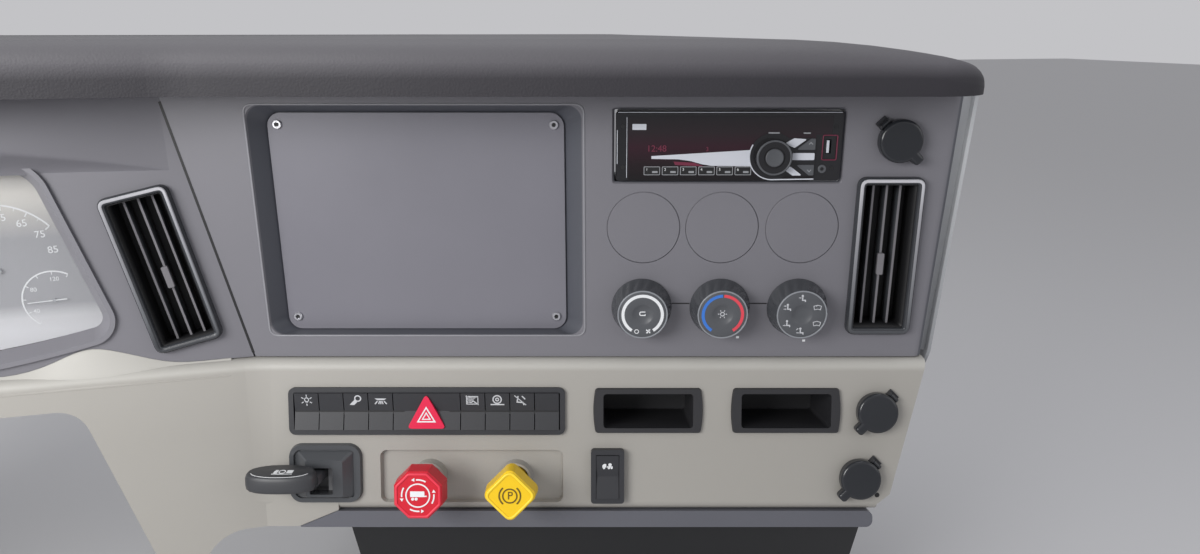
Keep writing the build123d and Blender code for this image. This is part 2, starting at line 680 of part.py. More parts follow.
def lower_sweep(inset):
    """The lower panel's outside, or the space inside it, one wall further in."""
    with BuildPart() as solid:
        with BuildLine(Plane.XY.offset(DATUM_Z)) as line:
            left_x = lower_left_x + inset
            start, end = plan_path(WING_LEDGE, LEDGE, left_x, LOWER_RIGHT_TOP + 10, BEND_RADIUS)
        section_plane = Plane(origin=(start[0], start[1], DATUM_Z), x_dir=(0, 1, 0), z_dir=(1, 0, 0))
        slant = inset * tan(tilt)
        with BuildSketch(section_plane) as section:
            back = LEDGE_DEPTH + inset * 10
            foot_back = foot_f + LOWER_RETURN - inset
            Polygon(
                (back, -LEDGE_DROP - inset),
                (ledge_f + inset / cos(tilt) - slant, -LEDGE_DROP - inset),
                (foot_f + inset / cos(tilt) + slant, foot_h + inset),
                (foot_back + inset * 10, foot_h + inset - slant),
                (back, foot_h + inset + 2 * LOWER_RETURN),
                align=None,
            )
            corners = section.vertices()
            fillet(corners.sort_by_distance((ledge_f + inset, -LEDGE_DROP))[0], RIDGE_ROUND - inset)
            fillet(section.vertices().sort_by_distance((foot_f + inset, foot_h))[0], FOOT_ROUND - inset)
        sweep(path=line.wires()[0])
        with BuildSketch(stack_face.offset(PAD_DEPTH)):
            Polygon(
                (LOWER_RIGHT_TOP - inset, 0),
                (corner_s - inset, FOOT_CORNER - LOWER_LENGTH),
                (LOWER_RIGHT_FOOT - FOOT_CORNER - inset, -LOWER_LENGTH),
                (LOWER_RIGHT_FOOT - FOOT_CORNER - inset, -LOWER_LENGTH * 2),
                (LOWER_RIGHT_TOP * 2, -LOWER_LENGTH * 2),
                (LOWER_RIGHT_TOP * 2, 0),
                align=None,
            )
        extrude(amount=-PAD_DEPTH * 2, mode=Mode.SUBTRACT)
    return solid.part


# Its rise below the instruments, on the wing
HUMP_RIGHT = (-20.0, 0.5)
HUMP_SHOULDER = (-72.0, 2.5)
HUMP_PEAK = (-128.0, 19.0)
HUMP_LEFT = (-205.0, 1.0)
HUMP_FOOT = -1.0
HUMP_FRONT = (WING_LEDGE, -12.2, 1.2)


def hump_outline(grow=0.0):
    """The rise's outline on the wing's face, or one that is a little higher."""
    with BuildSketch(Plane.XY, mode=Mode.PRIVATE) as outline:
        crest = [(t, v + grow) for t, v in (HUMP_RIGHT, HUMP_SHOULDER, HUMP_PEAK, HUMP_LEFT)]
        with BuildLine():
            Spline(*crest, tangents=((-1, 0), (-1, 0)))
            Polyline(crest[-1], (crest[-1][0], HUMP_FOOT), (crest[0][0], HUMP_FOOT), crest[0])
        make_face()
    return outline.sketch


def hump():
    """The rise itself, from the wing's face down to the ridge."""
    front_out, front_v, front_thick = HUMP_FRONT
    with BuildPart() as rise:
        with BuildSketch(wing_face):
            add(hump_outline())
        extrude(amount=-WALL)
        with BuildSketch(wing_face):
            add(hump_outline())
        with BuildSketch(wing_face.offset(front_out)):
            crest = [(t, front_v) for t in (HUMP_RIGHT[0], HUMP_SHOULDER[0], HUMP_PEAK[0], HUMP_LEFT[0])]
            with BuildLine():
                Spline(*crest, tangents=((-1, 0), (-1, 0)))
                foot_v = front_v - front_thick
                Polyline(crest[-1], (crest[-1][0], foot_v), (crest[0][0], foot_v), crest[0])
            make_face()
        loft()
        mirror(about=Plane(origin=wing_face.from_local_coords((CLUSTER_T, 0, 0)), z_dir=(1, 0, 0)))
    return rise.part


SWITCH_BANK = (-277.4, -57.0, -31.2, -14.2)
SWITCH_ROUND = 6.0
SWITCH_RIM = 3.0
SWITCH_WALL = 1.5
SWITCH_PITCH = 22.0
SWITCH_DEPTH = 30.0
HAZARD_WIDTH = 60.0
SWITCH_PROUD = 4.0

CUBBY_WIDTH = 98.0
CUBBY_BOW = 2.0
CUBBY_ROUND = 3.0
CUBBY_HEIGHT = 41.0
CUBBY_MOUTH = (80.0, 31.0)
CUBBY_DEPTH = 72.0
CUBBY_PROUD = 3.0
CUBBY_WALL = 2.0
CUBBIES = (("left", (43.0, -35.5)), ("right", (166.0, -35.5)))

LEVER_BEZEL = (-279.0, -119.6, -213.5, -65.2)
LEVER_ROUND = 12.0
LEVER_PROUD = 4.0
LEVER_SLOT = (-252.0, -94.6)
LEVER_SLOT_SIZE = (13.0, 24.0)

VALVES = (("red", (-153.5, -96.5)), ("yellow", (-76.0, -96.9)))
VALVE_RECESS = (-197.5, -119.6, -33.2, -71.6)
VALVE_RECESS_DEPTH = 5.0
RECESS_DRAFT = 15
COLLAR_RADIUS = 15.5
COLLAR_HEIGHT = 9.0
STEM_RADIUS = 10.0
STEM_GAP = 1.0
LOWER_BOSSES = ((-20.5, -92.0), (120.0, -95.0))

ROCKER_BEZEL = (-8.1, -118.7, 21.6, -69.8)
ROCKER_PROUD = 7.0
ROCKER_MARGIN = 4.5

COLUMN_TOP = -20.0
COLUMN_TOP_HALF = 178.0
COLUMN_FOOT = -262.0
COLUMN_FOOT_HALF = 232.0
COLUMN_TOP_ROUND = 26.0
COLUMN_FOOT_ROUND = 70.0
RING_WIDTH = 31.0
SKIRT_FOOT = -142.0
SKIRT_RIGHT = 6.0
SKIRT_ROUND = 40.0
SKIRT_LEAST = 0.8
STRIP_LEFT = -322.0
STRIP_TURN = -272.0
STRIP_END = -236.0
STRIP_TOP = -112.0
STRIP_ROUND = 14.0

ring_half = COLUMN_FOOT_HALF + RING_WIDTH
skirt_run = min(WING_LENGTH + CLUSTER_T - ring_half, SKIRT_RIGHT - CLUSTER_T - ring_half)
skirt_round = min(SKIRT_ROUND, SKIRT_LEAST * skirt_run)


def foot_strip(grow=0.0):
    """The strip below the bend, where the skirt's foot climbs to the stack's, or a larger one."""
    with BuildSketch(Plane.XY, mode=Mode.PRIVATE) as strip:
        Polygon(
            (STRIP_LEFT, STRIP_TOP),
            (STRIP_LEFT, SKIRT_FOOT),
            (STRIP_TURN, SKIRT_FOOT),
            (STRIP_END, -LOWER_LENGTH + FOOT_ROUND / 4),
            (STRIP_END, STRIP_TOP),
            align=None,
        )
        fillet(strip.vertices().sort_by_distance((STRIP_TURN, SKIRT_FOOT))[0], STRIP_ROUND)
        if grow:
            offset(amount=grow, mode=Mode.REPLACE)
    return strip.sketch


with BuildPart() as light_panel:
    add(lower_sweep(0))
    with BuildSketch(wing_lower) as ring:
        Polygon(
            (-WING_LENGTH, -RIDGE_ROUND),
            (-WING_LENGTH, SKIRT_FOOT),
            (CLUSTER_T - ring_half, SKIRT_FOOT),
            (CLUSTER_T - ring_half, COLUMN_FOOT - RING_WIDTH),
            (CLUSTER_T + ring_half, COLUMN_FOOT - RING_WIDTH),
            (CLUSTER_T + ring_half, SKIRT_FOOT),
            (SKIRT_RIGHT, SKIRT_FOOT),
            (SKIRT_RIGHT, -RIDGE_ROUND),
            align=None,
        )
        for side in (-1, 1):
            ring_x = CLUSTER_T + side * ring_half
            fillet(ring.vertices().sort_by_distance((ring_x, SKIRT_FOOT))[0], skirt_round)
            fillet(
                ring.vertices().sort_by_distance((ring_x, COLUMN_FOOT - RING_WIDTH))[0],
                COLUMN_FOOT_ROUND + RING_WIDTH,
            )
    extrude(amount=-WALL)
    with BuildSketch(lower_face):
        add(foot_strip())
    extrude(amount=-WALL)
    add(lower_sweep(WALL), mode=Mode.SUBTRACT)
    add(hump())
    with BuildSketch(lower_face.offset(-WALL)):
        rounded_span(VALVE_RECESS, SWITCH_ROUND, WALL)
    extrude(amount=-VALVE_RECESS_DEPTH)
    with BuildSketch(lower_face):
        rounded_span(VALVE_RECESS, SWITCH_ROUND)
    extrude(amount=-VALVE_RECESS_DEPTH, taper=RECESS_DRAFT, mode=Mode.SUBTRACT)
    with BuildSketch(wing_lower) as column_opening:
        Polygon(
            (CLUSTER_T - COLUMN_TOP_HALF, COLUMN_TOP),
            (CLUSTER_T - COLUMN_FOOT_HALF, COLUMN_FOOT * 0.65),
            (CLUSTER_T - COLUMN_FOOT_HALF, COLUMN_FOOT),
            (CLUSTER_T + COLUMN_FOOT_HALF, COLUMN_FOOT),
            (CLUSTER_T + COLUMN_FOOT_HALF, COLUMN_FOOT * 0.65),
            (CLUSTER_T + COLUMN_TOP_HALF, COLUMN_TOP),
            align=None,
        )
        for side in (-1, 1):
            top_corner = (CLUSTER_T + side * COLUMN_TOP_HALF, COLUMN_TOP)
            foot_corner = (CLUSTER_T + side * COLUMN_FOOT_HALF, COLUMN_FOOT)
            fillet(column_opening.vertices().sort_by_distance(top_corner)[0], COLUMN_TOP_ROUND)
            fillet(column_opening.vertices().sort_by_distance(foot_corner)[0], COLUMN_FOOT_ROUND)
    extrude(amount=LEDGE_DEPTH, both=True, mode=Mode.SUBTRACT)
    with BuildSketch(lower_face):
        rounded_span(SWITCH_BANK, SWITCH_ROUND, -SWITCH_RIM + SEAT_GAP)
        rounded_span(LEVER_BEZEL, LEVER_ROUND, -SWITCH_RIM + SEAT_GAP)
        rounded_span(ROCKER_BEZEL, SWITCH_ROUND, -SWITCH_RIM + SEAT_GAP)
        for _, spot in CUBBIES:
            with Locations(spot):
                RectangleRounded(CUBBY_WIDTH - 8, CUBBY_HEIGHT - 6, 3)
        with Locations(*[spot for _, spot in VALVES]):
            Circle(STEM_RADIUS + STEM_GAP)
        with Locations(*LOWER_OUTLETS):
            Circle(OUTLET_BODY + SEAT_GAP)
    extrude(amount=-WALL - VALVE_RECESS_DEPTH - 1, mode=Mode.SUBTRACT)
    with BuildSketch(lower_face.offset(-VALVE_RECESS_DEPTH)):
        with Locations(*[spot for _, spot in VALVES]):
            Circle(COLLAR_RADIUS)
            Circle(STEM_RADIUS + STEM_GAP, mode=Mode.SUBTRACT)
    extrude(amount=COLLAR_HEIGHT, taper=8)
    add(screw_bosses(lower_face.offset(-WALL), LOWER_BOSSES))

# Wing panel
CLUSTER_FOOT = (203.0, 38.5)
CLUSTER_SHOULDER = (163.0, 168.0)
CLUSTER_DIP = 12.8
CLUSTER_CROWN = 188.0
CLUSTER_FOOT_ROUND = 10.0
CLUSTER_SHOULDER_ROUND = 24.0
BEZEL_WIDTH = 9.0
WING_BOSSES = ((200.0, 222.0), (225.0, 24.0))
BEZEL_FLANGE = 4.0


def cluster_outline(grow=0.0):
    """The instrument window's outline, or one that is larger all round."""
    foot_t, foot_v = CLUSTER_FOOT
    top_t, top_v = CLUSTER_SHOULDER
    with BuildSketch(Plane.XY, mode=Mode.PRIVATE) as window:
        with BuildLine() as line:
            ThreePointArc((-foot_t, foot_v), (0, CLUSTER_DIP), (foot_t, foot_v))
            Line((foot_t, foot_v), (top_t, top_v))
            ThreePointArc((top_t, top_v), (0, CLUSTER_CROWN), (-top_t, top_v))
            Line((-top_t, top_v), (-foot_t, foot_v))
        make_face()
        for side in (-1, 1):
            fillet(window.vertices().sort_by_distance((side * foot_t, foot_v))[0], CLUSTER_FOOT_ROUND)
            fillet(window.vertices().sort_by_distance((side * top_t, top_v))[0], CLUSTER_SHOULDER_ROUND)
        if grow:
            offset(amount=grow, mode=Mode.REPLACE)
    return window.sketch


with BuildPart() as wing_panel:
    with BuildSketch(wing_face):
        Polygon(
            (-WING_LENGTH, PANEL_FOOT),
            (crease_t(PANEL_FOOT) - CREASE_GAP / 2, PANEL_FOOT),
            (crease_t(PANEL_TOP) - CREASE_GAP / 2, PANEL_TOP),
            (-WING_LENGTH, PANEL_TOP),
            align=None,
        )
        with Locations((CLUSTER_T, 0)):
            add(cluster_outline(BEZEL_WIDTH), mode=Mode.SUBTRACT)
    extrude(amount=-WALL)
    boss_spots = [(CLUSTER_T + side * x, y) for side in (-1, 1) for x, y in WING_BOSSES]
    add(screw_bosses(wing_face.offset(-WALL), boss_spots))
    wing_middle = Plane(origin=wing_face.from_local_coords((CLUSTER_T, 0, 0)), z_dir=(1, 0, 0))
    with BuildPart(mode=Mode.PRIVATE) as hump_room:
        with BuildSketch(wing_face):
            add(hump_outline(SEAT_GAP))
        extrude(amount=WALL * 2, both=True)
        mirror(about=wing_middle)
    add(hump_room.part, mode=Mode.SUBTRACT)
    for name, vent_plane in VENTS[:2]:
        with BuildSketch(vent_plane):
            RectangleRounded(VENT_WIDTH - VENT_LIP, VENT_HEIGHT - VENT_LIP, VENT_ROUND - VENT_LIP / 2)
        extrude(amount=WALL, both=True, mode=Mode.SUBTRACT)
save(light_panel.part, "light_panel")
save(wing_panel.part, "wing_panel")

# Instrument cluster: a bevelled bezel, the clear window, a dial plate and needles in a housing
BEZEL_PROUD = 3.0
BEZEL_DEPTH = 12.0
WINDOW_SET = 9.0
WINDOW_THICK = 2.0
HOUSING_DEPTH = 70.0
DIAL_SET = 34.0
DIAL_THICK = 2.0
DIALS = ((-119.0, 85.5, 60.0, 35.0), (119.0, 85.5, 60.0, -35.0))
SMALL_DIALS = (
    (-176.0, 62.0, 24.0, 20.0),
    (-30.0, 62.0, 24.0, -30.0),
    (30.0, 62.0, 24.0, 30.0),
    (176.0, 62.0, 24.0, -20.0),
)
NEEDLE_WIDTH = 3.0
NEEDLE_SHARE = 0.85
HUB_RADIUS = 9.0
SMALL_HUB_RADIUS = 5.0
NEEDLE_THICK = 1.5
cluster_plane = turned(wing_face, CLUSTER_T, 0)

with BuildPart() as cluster_bezel:
    with BuildSketch(cluster_plane):
        add(cluster_outline(BEZEL_WIDTH + BEZEL_FLANGE))
    extrude(amount=BEZEL_PROUD)
    with BuildSketch(cluster_plane):
        add(cluster_outline(BEZEL_WIDTH - SEAT_GAP))
    extrude(amount=-BEZEL_DEPTH)
    with BuildSketch(cluster_plane.offset(BEZEL_PROUD)):
        add(cluster_outline(BEZEL_WIDTH))
    with BuildSketch(cluster_plane.offset(-WINDOW_SET)):
        add(cluster_outline())
    loft(mode=Mode.SUBTRACT)
    with BuildSketch(cluster_plane.offset(-WINDOW_SET)):
        add(cluster_outline(SEAT_GAP * 2))
    extrude(amount=-BEZEL_DEPTH, mode=Mode.SUBTRACT)

with BuildPart() as cluster_window:
    with BuildSketch(cluster_plane.offset(-WINDOW_SET)):
        add(cluster_outline(SEAT_GAP))
    extrude(amount=-WINDOW_THICK)

with BuildPart() as cluster_housing:
    with BuildSketch(cluster_plane.offset(-BEZEL_DEPTH)):
        add(cluster_outline(BEZEL_WIDTH - 1))
    extrude(amount=-HOUSING_DEPTH)
    with BuildSketch(cluster_plane.offset(-BEZEL_DEPTH)):
        add(cluster_outline(BEZEL_WIDTH - 1 - WALL))
    extrude(amount=-HOUSING_DEPTH + WALL, mode=Mode.SUBTRACT)

with BuildPart() as dial_plate:
    with BuildSketch(cluster_plane.offset(-DIAL_SET)):
        add(cluster_outline(BEZEL_WIDTH - 1 - WALL - SEAT_GAP))
    extrude(amount=-DIAL_THICK)

with BuildPart() as gauge_needles:
    for dial_x, dial_y, reach, angle in DIALS + SMALL_DIALS:
        hub = HUB_RADIUS if reach > 2 * HUB_RADIUS * 1.5 else SMALL_HUB_RADIUS
        needle_plane = turned(cluster_plane, dial_x, dial_y, angle, -DIAL_SET + SEAT_GAP)
        with BuildSketch(needle_plane):
            Circle(hub)
        extrude(amount=4 * NEEDLE_THICK)
        with BuildSketch(needle_plane.offset(NEEDLE_THICK)):
            Polygon(
                (NEEDLE_WIDTH / 2, 0),
                (NEEDLE_WIDTH / 6, reach * NEEDLE_SHARE),
                (-NEEDLE_WIDTH / 6, reach * NEEDLE_SHARE),
                (-NEEDLE_WIDTH / 2, 0),
                align=None,
            )
        extrude(amount=NEEDLE_THICK)

save(cluster_bezel.part, "cluster_bezel")
save(cluster_window.part, "cluster_window")
save(cluster_housing.part, "cluster_housing")
save(dial_plate.part, "dial_plate")
save(gauge_needles.part, "gauge_needles")

# Brow: the moulded hood between the wing's face and the pad's lip, fading out at the crease
BROW_FOOT_T = -56.0
BROW_FOOT_V = 168.0
BROW_MIDDLE_V = 205.0
BROW_REACH = 56.0
BROW_FADE = 4.0
BROW_EDGE = 5.0
BROW_BOW = 0.5
BROW_SWELL = 6.0

brow_top = PANEL_TOP - WALL
brow_half = CLUSTER_T - BROW_FOOT_T
fade_angle = degrees(atan((BROW_REACH - BROW_FADE) / -brow_half))
brow_far = turned(wing_face, CLUSTER_T, 0, lift=BROW_REACH)
brow_edge_plane = Plane(
    origin=brow_far.origin,
    x_dir=brow_far.x_dir.rotate(Axis((0, 0, 0), brow_far.y_dir), fade_angle),
    z_dir=brow_far.z_dir.rotate(Axis((0, 0, 0), brow_far.y_dir), fade_angle),
)
brow_run = -brow_half / cos(radians(fade_angle))
with BuildPart() as cluster_brow:
    with BuildSketch(wing_face.offset(SEAT_GAP)):
        with BuildLine() as face_line:
            ThreePointArc(
                (BROW_FOOT_T, BROW_FOOT_V),
                ((BROW_FOOT_T + CLUSTER_T) / 2, (BROW_FOOT_V + BROW_MIDDLE_V) / 2 + BROW_SWELL),
                (CLUSTER_T, BROW_MIDDLE_V),
            )
            Polyline(
                (CLUSTER_T, BROW_MIDDLE_V),
                (CLUSTER_T, brow_top),
                (BROW_FOOT_T, brow_top),
                (BROW_FOOT_T, BROW_FOOT_V),
            )
        make_face(face_line.edges())
    with BuildSketch(brow_edge_plane):
        with BuildLine() as edge_line:
            edge_foot = brow_top - BROW_EDGE
            ThreePointArc((brow_run, edge_foot), (brow_run / 2, edge_foot + BROW_BOW), (0, edge_foot))
            Polyline((0, edge_foot), (0, brow_top), (brow_run, brow_top), (brow_run, edge_foot))
        make_face(edge_line.edges())
    loft(ruled=True)
    mirror(about=Plane(origin=cluster_plane.origin, z_dir=(1, 0, 0)))
save(cluster_brow.part, "cluster_brow")

# Switch bank
with BuildPart() as switch_bezel:
    with BuildSketch(lower_face):
        rounded_span(SWITCH_BANK, SWITCH_ROUND)
    extrude(amount=SWITCH_PROUD - 1)
    with BuildSketch(lower_face):
        rounded_span(SWITCH_BANK, SWITCH_ROUND, -SWITCH_RIM)
    extrude(amount=-SWITCH_DEPTH)
    with BuildSketch(lower_face.offset(SWITCH_PROUD)):
        rounded_span(SWITCH_BANK, SWITCH_ROUND, -SWITCH_RIM - SWITCH_WALL)
    extrude(amount=-SWITCH_DEPTH / 2, mode=Mode.SUBTRACT)

bank_left, bank_bottom, bank_right, bank_top = SWITCH_BANK
bank_middle = ((bank_left + bank_right) / 2, (bank_bottom + bank_top) / 2)
rocker_height = bank_top - bank_bottom - 2 * (SWITCH_RIM + SWITCH_WALL + SEAT_GAP)
rocker_spots = [
    (bank_middle[0] + side * (HAZARD_WIDTH / 2 + (step + 0.5) * SWITCH_PITCH), bank_middle[1])
    for side in (-1, 1)
    for step in range(4)
]

KEY_GAP = 0.8
KEY_END = 4.5
KEY_GROOVE = 1.6
TRIANGLE = (30.8, 28.0, 5.0)


def key(middle, width, height, lift=0.0):
    """A switch key whose two slopes meet in a groove across its middle."""
    x, y = middle
    side_plane = Plane(
        origin=lower_face.from_local_coords((x - width / 2, y, lift)),
        x_dir=lower_face.y_dir,
        z_dir=RIGHT,
    )
    with BuildPart() as body:
        with BuildSketch(side_plane):
            Polygon(
                (-height / 2, -SWITCH_DEPTH / 3),
                (height / 2, -SWITCH_DEPTH / 3),
                (height / 2, KEY_END),
                (0, KEY_GROOVE),
                (-height / 2, KEY_END),
                align=None,
            )
        extrude(amount=width)
    return body.part


with BuildPart() as switch_rockers:
    for rocker_spot in rocker_spots:
        add(key(rocker_spot, SWITCH_PITCH - KEY_GAP, rocker_height))

with BuildPart() as hazard_button:
    add(key(bank_middle, HAZARD_WIDTH - KEY_GAP, rocker_height))
    triangle_width, triangle_height, triangle_lift = TRIANGLE
    with BuildSketch(lower_face):
        with Locations(bank_middle):
            Polygon(
                (-triangle_width / 2, -triangle_height / 2),
                (triangle_width / 2, -triangle_height / 2),
                (0, triangle_height / 2),
                align=None,
            )
    extrude(amount=triangle_lift)

save(switch_bezel.part, "switch_bezel")
save(switch_rockers.part, "switch_rockers")
save(hazard_button.part, "hazard_button")

# Cubbies: a framed mouth with bowed ends and a bin behind it
for name, spot in CUBBIES:
    cubby_plane = turned(lower_face, *spot)
    with BuildPart() as cubby:
        with BuildSketch(cubby_plane):
            add(bowed(CUBBY_WIDTH, CUBBY_HEIGHT, CUBBY_BOW, CUBBY_ROUND))
        extrude(amount=CUBBY_PROUD, taper=15)
        with BuildSketch(cubby_plane):
            RectangleRounded(CUBBY_MOUTH[0] + 2 * CUBBY_WALL, CUBBY_MOUTH[1] + 2 * CUBBY_WALL, 4)
        extrude(amount=-CUBBY_DEPTH)
        with BuildSketch(cubby_plane.offset(CUBBY_PROUD)):
            RectangleRounded(*CUBBY_MOUTH, 3)
        extrude(amount=-CUBBY_DEPTH - CUBBY_PROUD + CUBBY_WALL, mode=Mode.SUBTRACT)
    save(cubby.part, f"{name}_cubby")

# Hand valve: a rimmed bezel with a raised boss, the valve's body and its lever
BEZEL_RIM = 5.0
BEZEL_POCKET = 2.0
BOSS_FOOT = (-20.0, -19.5, 31.0, 23.0)
BOSS_TOP = (-10.0, -17.5, 23.0, 16.0)
BOSS_HEIGHT = 7.0
LEVER_MOUTH = (-6.5, -15.0, 14.0, 9.0)
LEVER_ARM = (7.0, 10.0)
LEVER_PIVOT_SET = 8.0
LEVER_HUB = 6.0
PADDLE = (-54.0, 19.0, 6.0, 42.0)
PADDLE_FOOT = -6.0
PADDLE_HEIGHT = 15.6
PADDLE_END = 11.0
PADDLE_EDGE = 1.5
PIVOT_RADIUS = 3.0
PIVOT_REACH = 11.5
SLOT_DROP = 4.0
VALVE_BODY = (44.0, 40.0, 46.0)

lever_plane = turned(lower_face, *LEVER_SLOT)
pivot_plane = Plane(
    origin=lever_plane.from_local_coords((0, 0, -LEVER_PIVOT_SET)),
    x_dir=lower_normal,
    z_dir=RIGHT,
)
paddle_plane = Plane(
    origin=lever_plane.from_local_coords((0, PADDLE_FOOT, 0)),
    x_dir=RIGHT,
    z_dir=-lever_plane.y_dir,
)
with BuildPart() as lever_bezel:
    with BuildSketch(lower_face):
        rounded_span(LEVER_BEZEL, LEVER_ROUND)
    extrude(amount=LEVER_PROUD, taper=15)
    with BuildSketch(lower_face.offset(LEVER_PROUD)):
        rounded_span(LEVER_BEZEL, LEVER_ROUND, -BEZEL_RIM)
    extrude(amount=-BEZEL_POCKET, mode=Mode.SUBTRACT)
    with BuildSketch(lower_face.offset(-WALL)):
        rounded_span(LEVER_BEZEL, LEVER_ROUND, -SWITCH_RIM)
    extrude(amount=WALL)
    with BuildSketch(lever_plane.offset(LEVER_PROUD - BEZEL_POCKET)):
        rounded_span(BOSS_FOOT, 2)
    with BuildSketch(lever_plane.offset(LEVER_PROUD - BEZEL_POCKET + BOSS_HEIGHT)):
        rounded_span(BOSS_TOP, 2)
    loft()
    with BuildSketch(lever_plane.offset(LEVER_PROUD + BOSS_HEIGHT)):
        rounded_span(LEVER_MOUTH, 1)
    extrude(amount=-LEVER_PROUD - BOSS_HEIGHT - WALL, mode=Mode.SUBTRACT)

with BuildPart() as hand_valve:
    with BuildSketch(lever_plane.offset(-WALL)):
        Rectangle(VALVE_BODY[0], VALVE_BODY[1])
    extrude(amount=-VALVE_BODY[2])
    with BuildSketch(lever_plane.offset(-WALL)):
        with Locations((0, -SLOT_DROP)):
            Rectangle(LEVER_SLOT_SIZE[0], LEVER_SLOT_SIZE[1])
    extrude(amount=-LEVER_PIVOT_SET - LEVER_HUB, mode=Mode.SUBTRACT)
    with BuildSketch(pivot_plane):
        Circle(PIVOT_RADIUS + RUNNING_GAP)
    extrude(amount=PIVOT_REACH + 1, both=True, mode=Mode.SUBTRACT)

with BuildPart() as hand_lever:
    with BuildSketch(paddle_plane) as blade:
        paddle_left, paddle_back, paddle_right, paddle_front = PADDLE
        Polygon(
            (paddle_left, paddle_back),
            (paddle_right, paddle_back),
            (paddle_right, paddle_front),
            (paddle_left, paddle_front),
            align=None,
        )
        left_corners = blade.vertices().group_by(Axis.X)[0]
        fillet(left_corners, PADDLE_END)
    extrude(amount=-PADDLE_HEIGHT)
    blade_run = lever_plane.y_dir
    outline = hand_lever.edges().filter_by(lambda edge: abs(edge.tangent_at(0.5).dot(blade_run)) < 0.01)
    chamfer(outline, PADDLE_EDGE)
    with BuildSketch(pivot_plane):
        Circle(LEVER_HUB)
    extrude(amount=LEVER_ARM[0] / 2, both=True)
    with BuildSketch(pivot_plane):
        Circle(PIVOT_RADIUS)
    extrude(amount=PIVOT_REACH, both=True)
    with BuildSketch(lever_plane.offset(-LEVER_PIVOT_SET)):
        RectangleRounded(LEVER_ARM[0], LEVER_ARM[1], 2)
    extrude(amount=LEVER_PIVOT_SET + paddle_front - PADDLE_END)

save(lever_bezel.part, "lever_bezel")
save(hand_valve.part, "hand_valve")
save(hand_lever.part, "hand_lever")

# Push-pull air valves: the manifold behind the panel and two knobs on stems
MANIFOLD = (130.0, 44.0, 58.0)
PULL_REACH = 30.0
VALVE_STROKE = 12.7
STEM_IN = 30.0
OCTAGON_FLAT = 43.0
OCTAGON_THICK = 18.0
DIAMOND_SIDE = 36.0
DIAMOND_ROUND = 7.0

manifold_middle = ((VALVES[0][1][0] + VALVES[1][1][0]) / 2, (VALVES[0][1][1] + VALVES[1][1][1]) / 2)
manifold_face = lower_face.offset(-WALL - VALVE_RECESS_DEPTH)
with BuildPart() as valve_manifold:
    with BuildSketch(manifold_face):
        with Locations(manifold_middle):
            RectangleRounded(MANIFOLD[0], MANIFOLD[1], 6)
    extrude(amount=-MANIFOLD[2])
    with BuildSketch(manifold_face):
        with Locations(*[spot for _, spot in VALVES]):
            Circle(STEM_RADIUS + RUNNING_GAP)
    extrude(amount=-STEM_IN - VALVE_STROKE - 4, mode=Mode.SUBTRACT)
save(valve_manifold.part, "valve_manifold")

for name, spot in VALVES:
    valve_plane = turned(lower_face, *spot)
    with BuildPart() as valve_knob:
        with BuildSketch(valve_plane.offset(-STEM_IN)):
            Circle(STEM_RADIUS)
        extrude(amount=STEM_IN + PULL_REACH)
        with BuildSketch(valve_plane.offset(PULL_REACH)):
            if name == "red":
                RegularPolygon(OCTAGON_FLAT / 2, 8, major_radius=False, rotation=22.5)
            else:
                RectangleRounded(DIAMOND_SIDE, DIAMOND_SIDE, DIAMOND_ROUND, rotation=45)
        extrude(amount=OCTAGON_THICK, taper=4)
        front = valve_knob.faces().sort_by(Axis(valve_plane.origin, lower_normal))[-1]
        chamfer(front.edges(), 1.5)
    save(valve_knob.part, f"{name}_valve_knob")

# Rocker switch low in the panel
rocker_middle = ((ROCKER_BEZEL[0] + ROCKER_BEZEL[2]) / 2, (ROCKER_BEZEL[1] + ROCKER_BEZEL[3]) / 2)
rocker_width = ROCKER_BEZEL[2] - ROCKER_BEZEL[0]
rocker_length = ROCKER_BEZEL[3] - ROCKER_BEZEL[1]
with BuildPart() as rocker_bezel:
    with BuildSketch(lower_face):
        rounded_span(ROCKER_BEZEL, SWITCH_ROUND / 2)
    extrude(amount=ROCKER_PROUD)
    with BuildSketch(lower_face):
        rounded_span(ROCKER_BEZEL, SWITCH_ROUND, -SWITCH_RIM)
    extrude(amount=-SWITCH_DEPTH)
    with BuildSketch(lower_face.offset(ROCKER_PROUD)):
        with Locations(rocker_middle):
            Rectangle(rocker_width - 2 * ROCKER_MARGIN, rocker_length - 2 * ROCKER_MARGIN)
    extrude(amount=-SWITCH_DEPTH / 2, mode=Mode.SUBTRACT)
with BuildPart() as rocker_switch:
    key_size = (rocker_width - 2 * ROCKER_MARGIN - KEY_GAP, rocker_length - 2 * ROCKER_MARGIN - KEY_GAP)
    add(key(rocker_middle, *key_size, ROCKER_PROUD - KEY_END + 1))
save(rocker_bezel.part, "rocker_bezel")
save(rocker_switch.part, "rocker_switch")

# Side cheek, left end cap, lower trim and knee panel
CHEEK_TOP_S = 316.0
CHEEK_MIDDLE_S = 301.5
CHEEK_FOOT_S = 262.0
CHEEK_SET = 12.0
CHEEK_DEPTH = 190.0
CHEEK_FLANGE = 10.0
END_DEPTH = 150.0
TRIM_LEFT = -274.0
TRIM_RIGHT = 246.0
TRIM_HEIGHT = 15.0
TRIM_DEPTH = 30.0
TRIM_PROUD = 1.0
TRIM_ROUND = 6.0
KNEE_HEIGHT = 150.0
KNEE_RAKE = 60.0

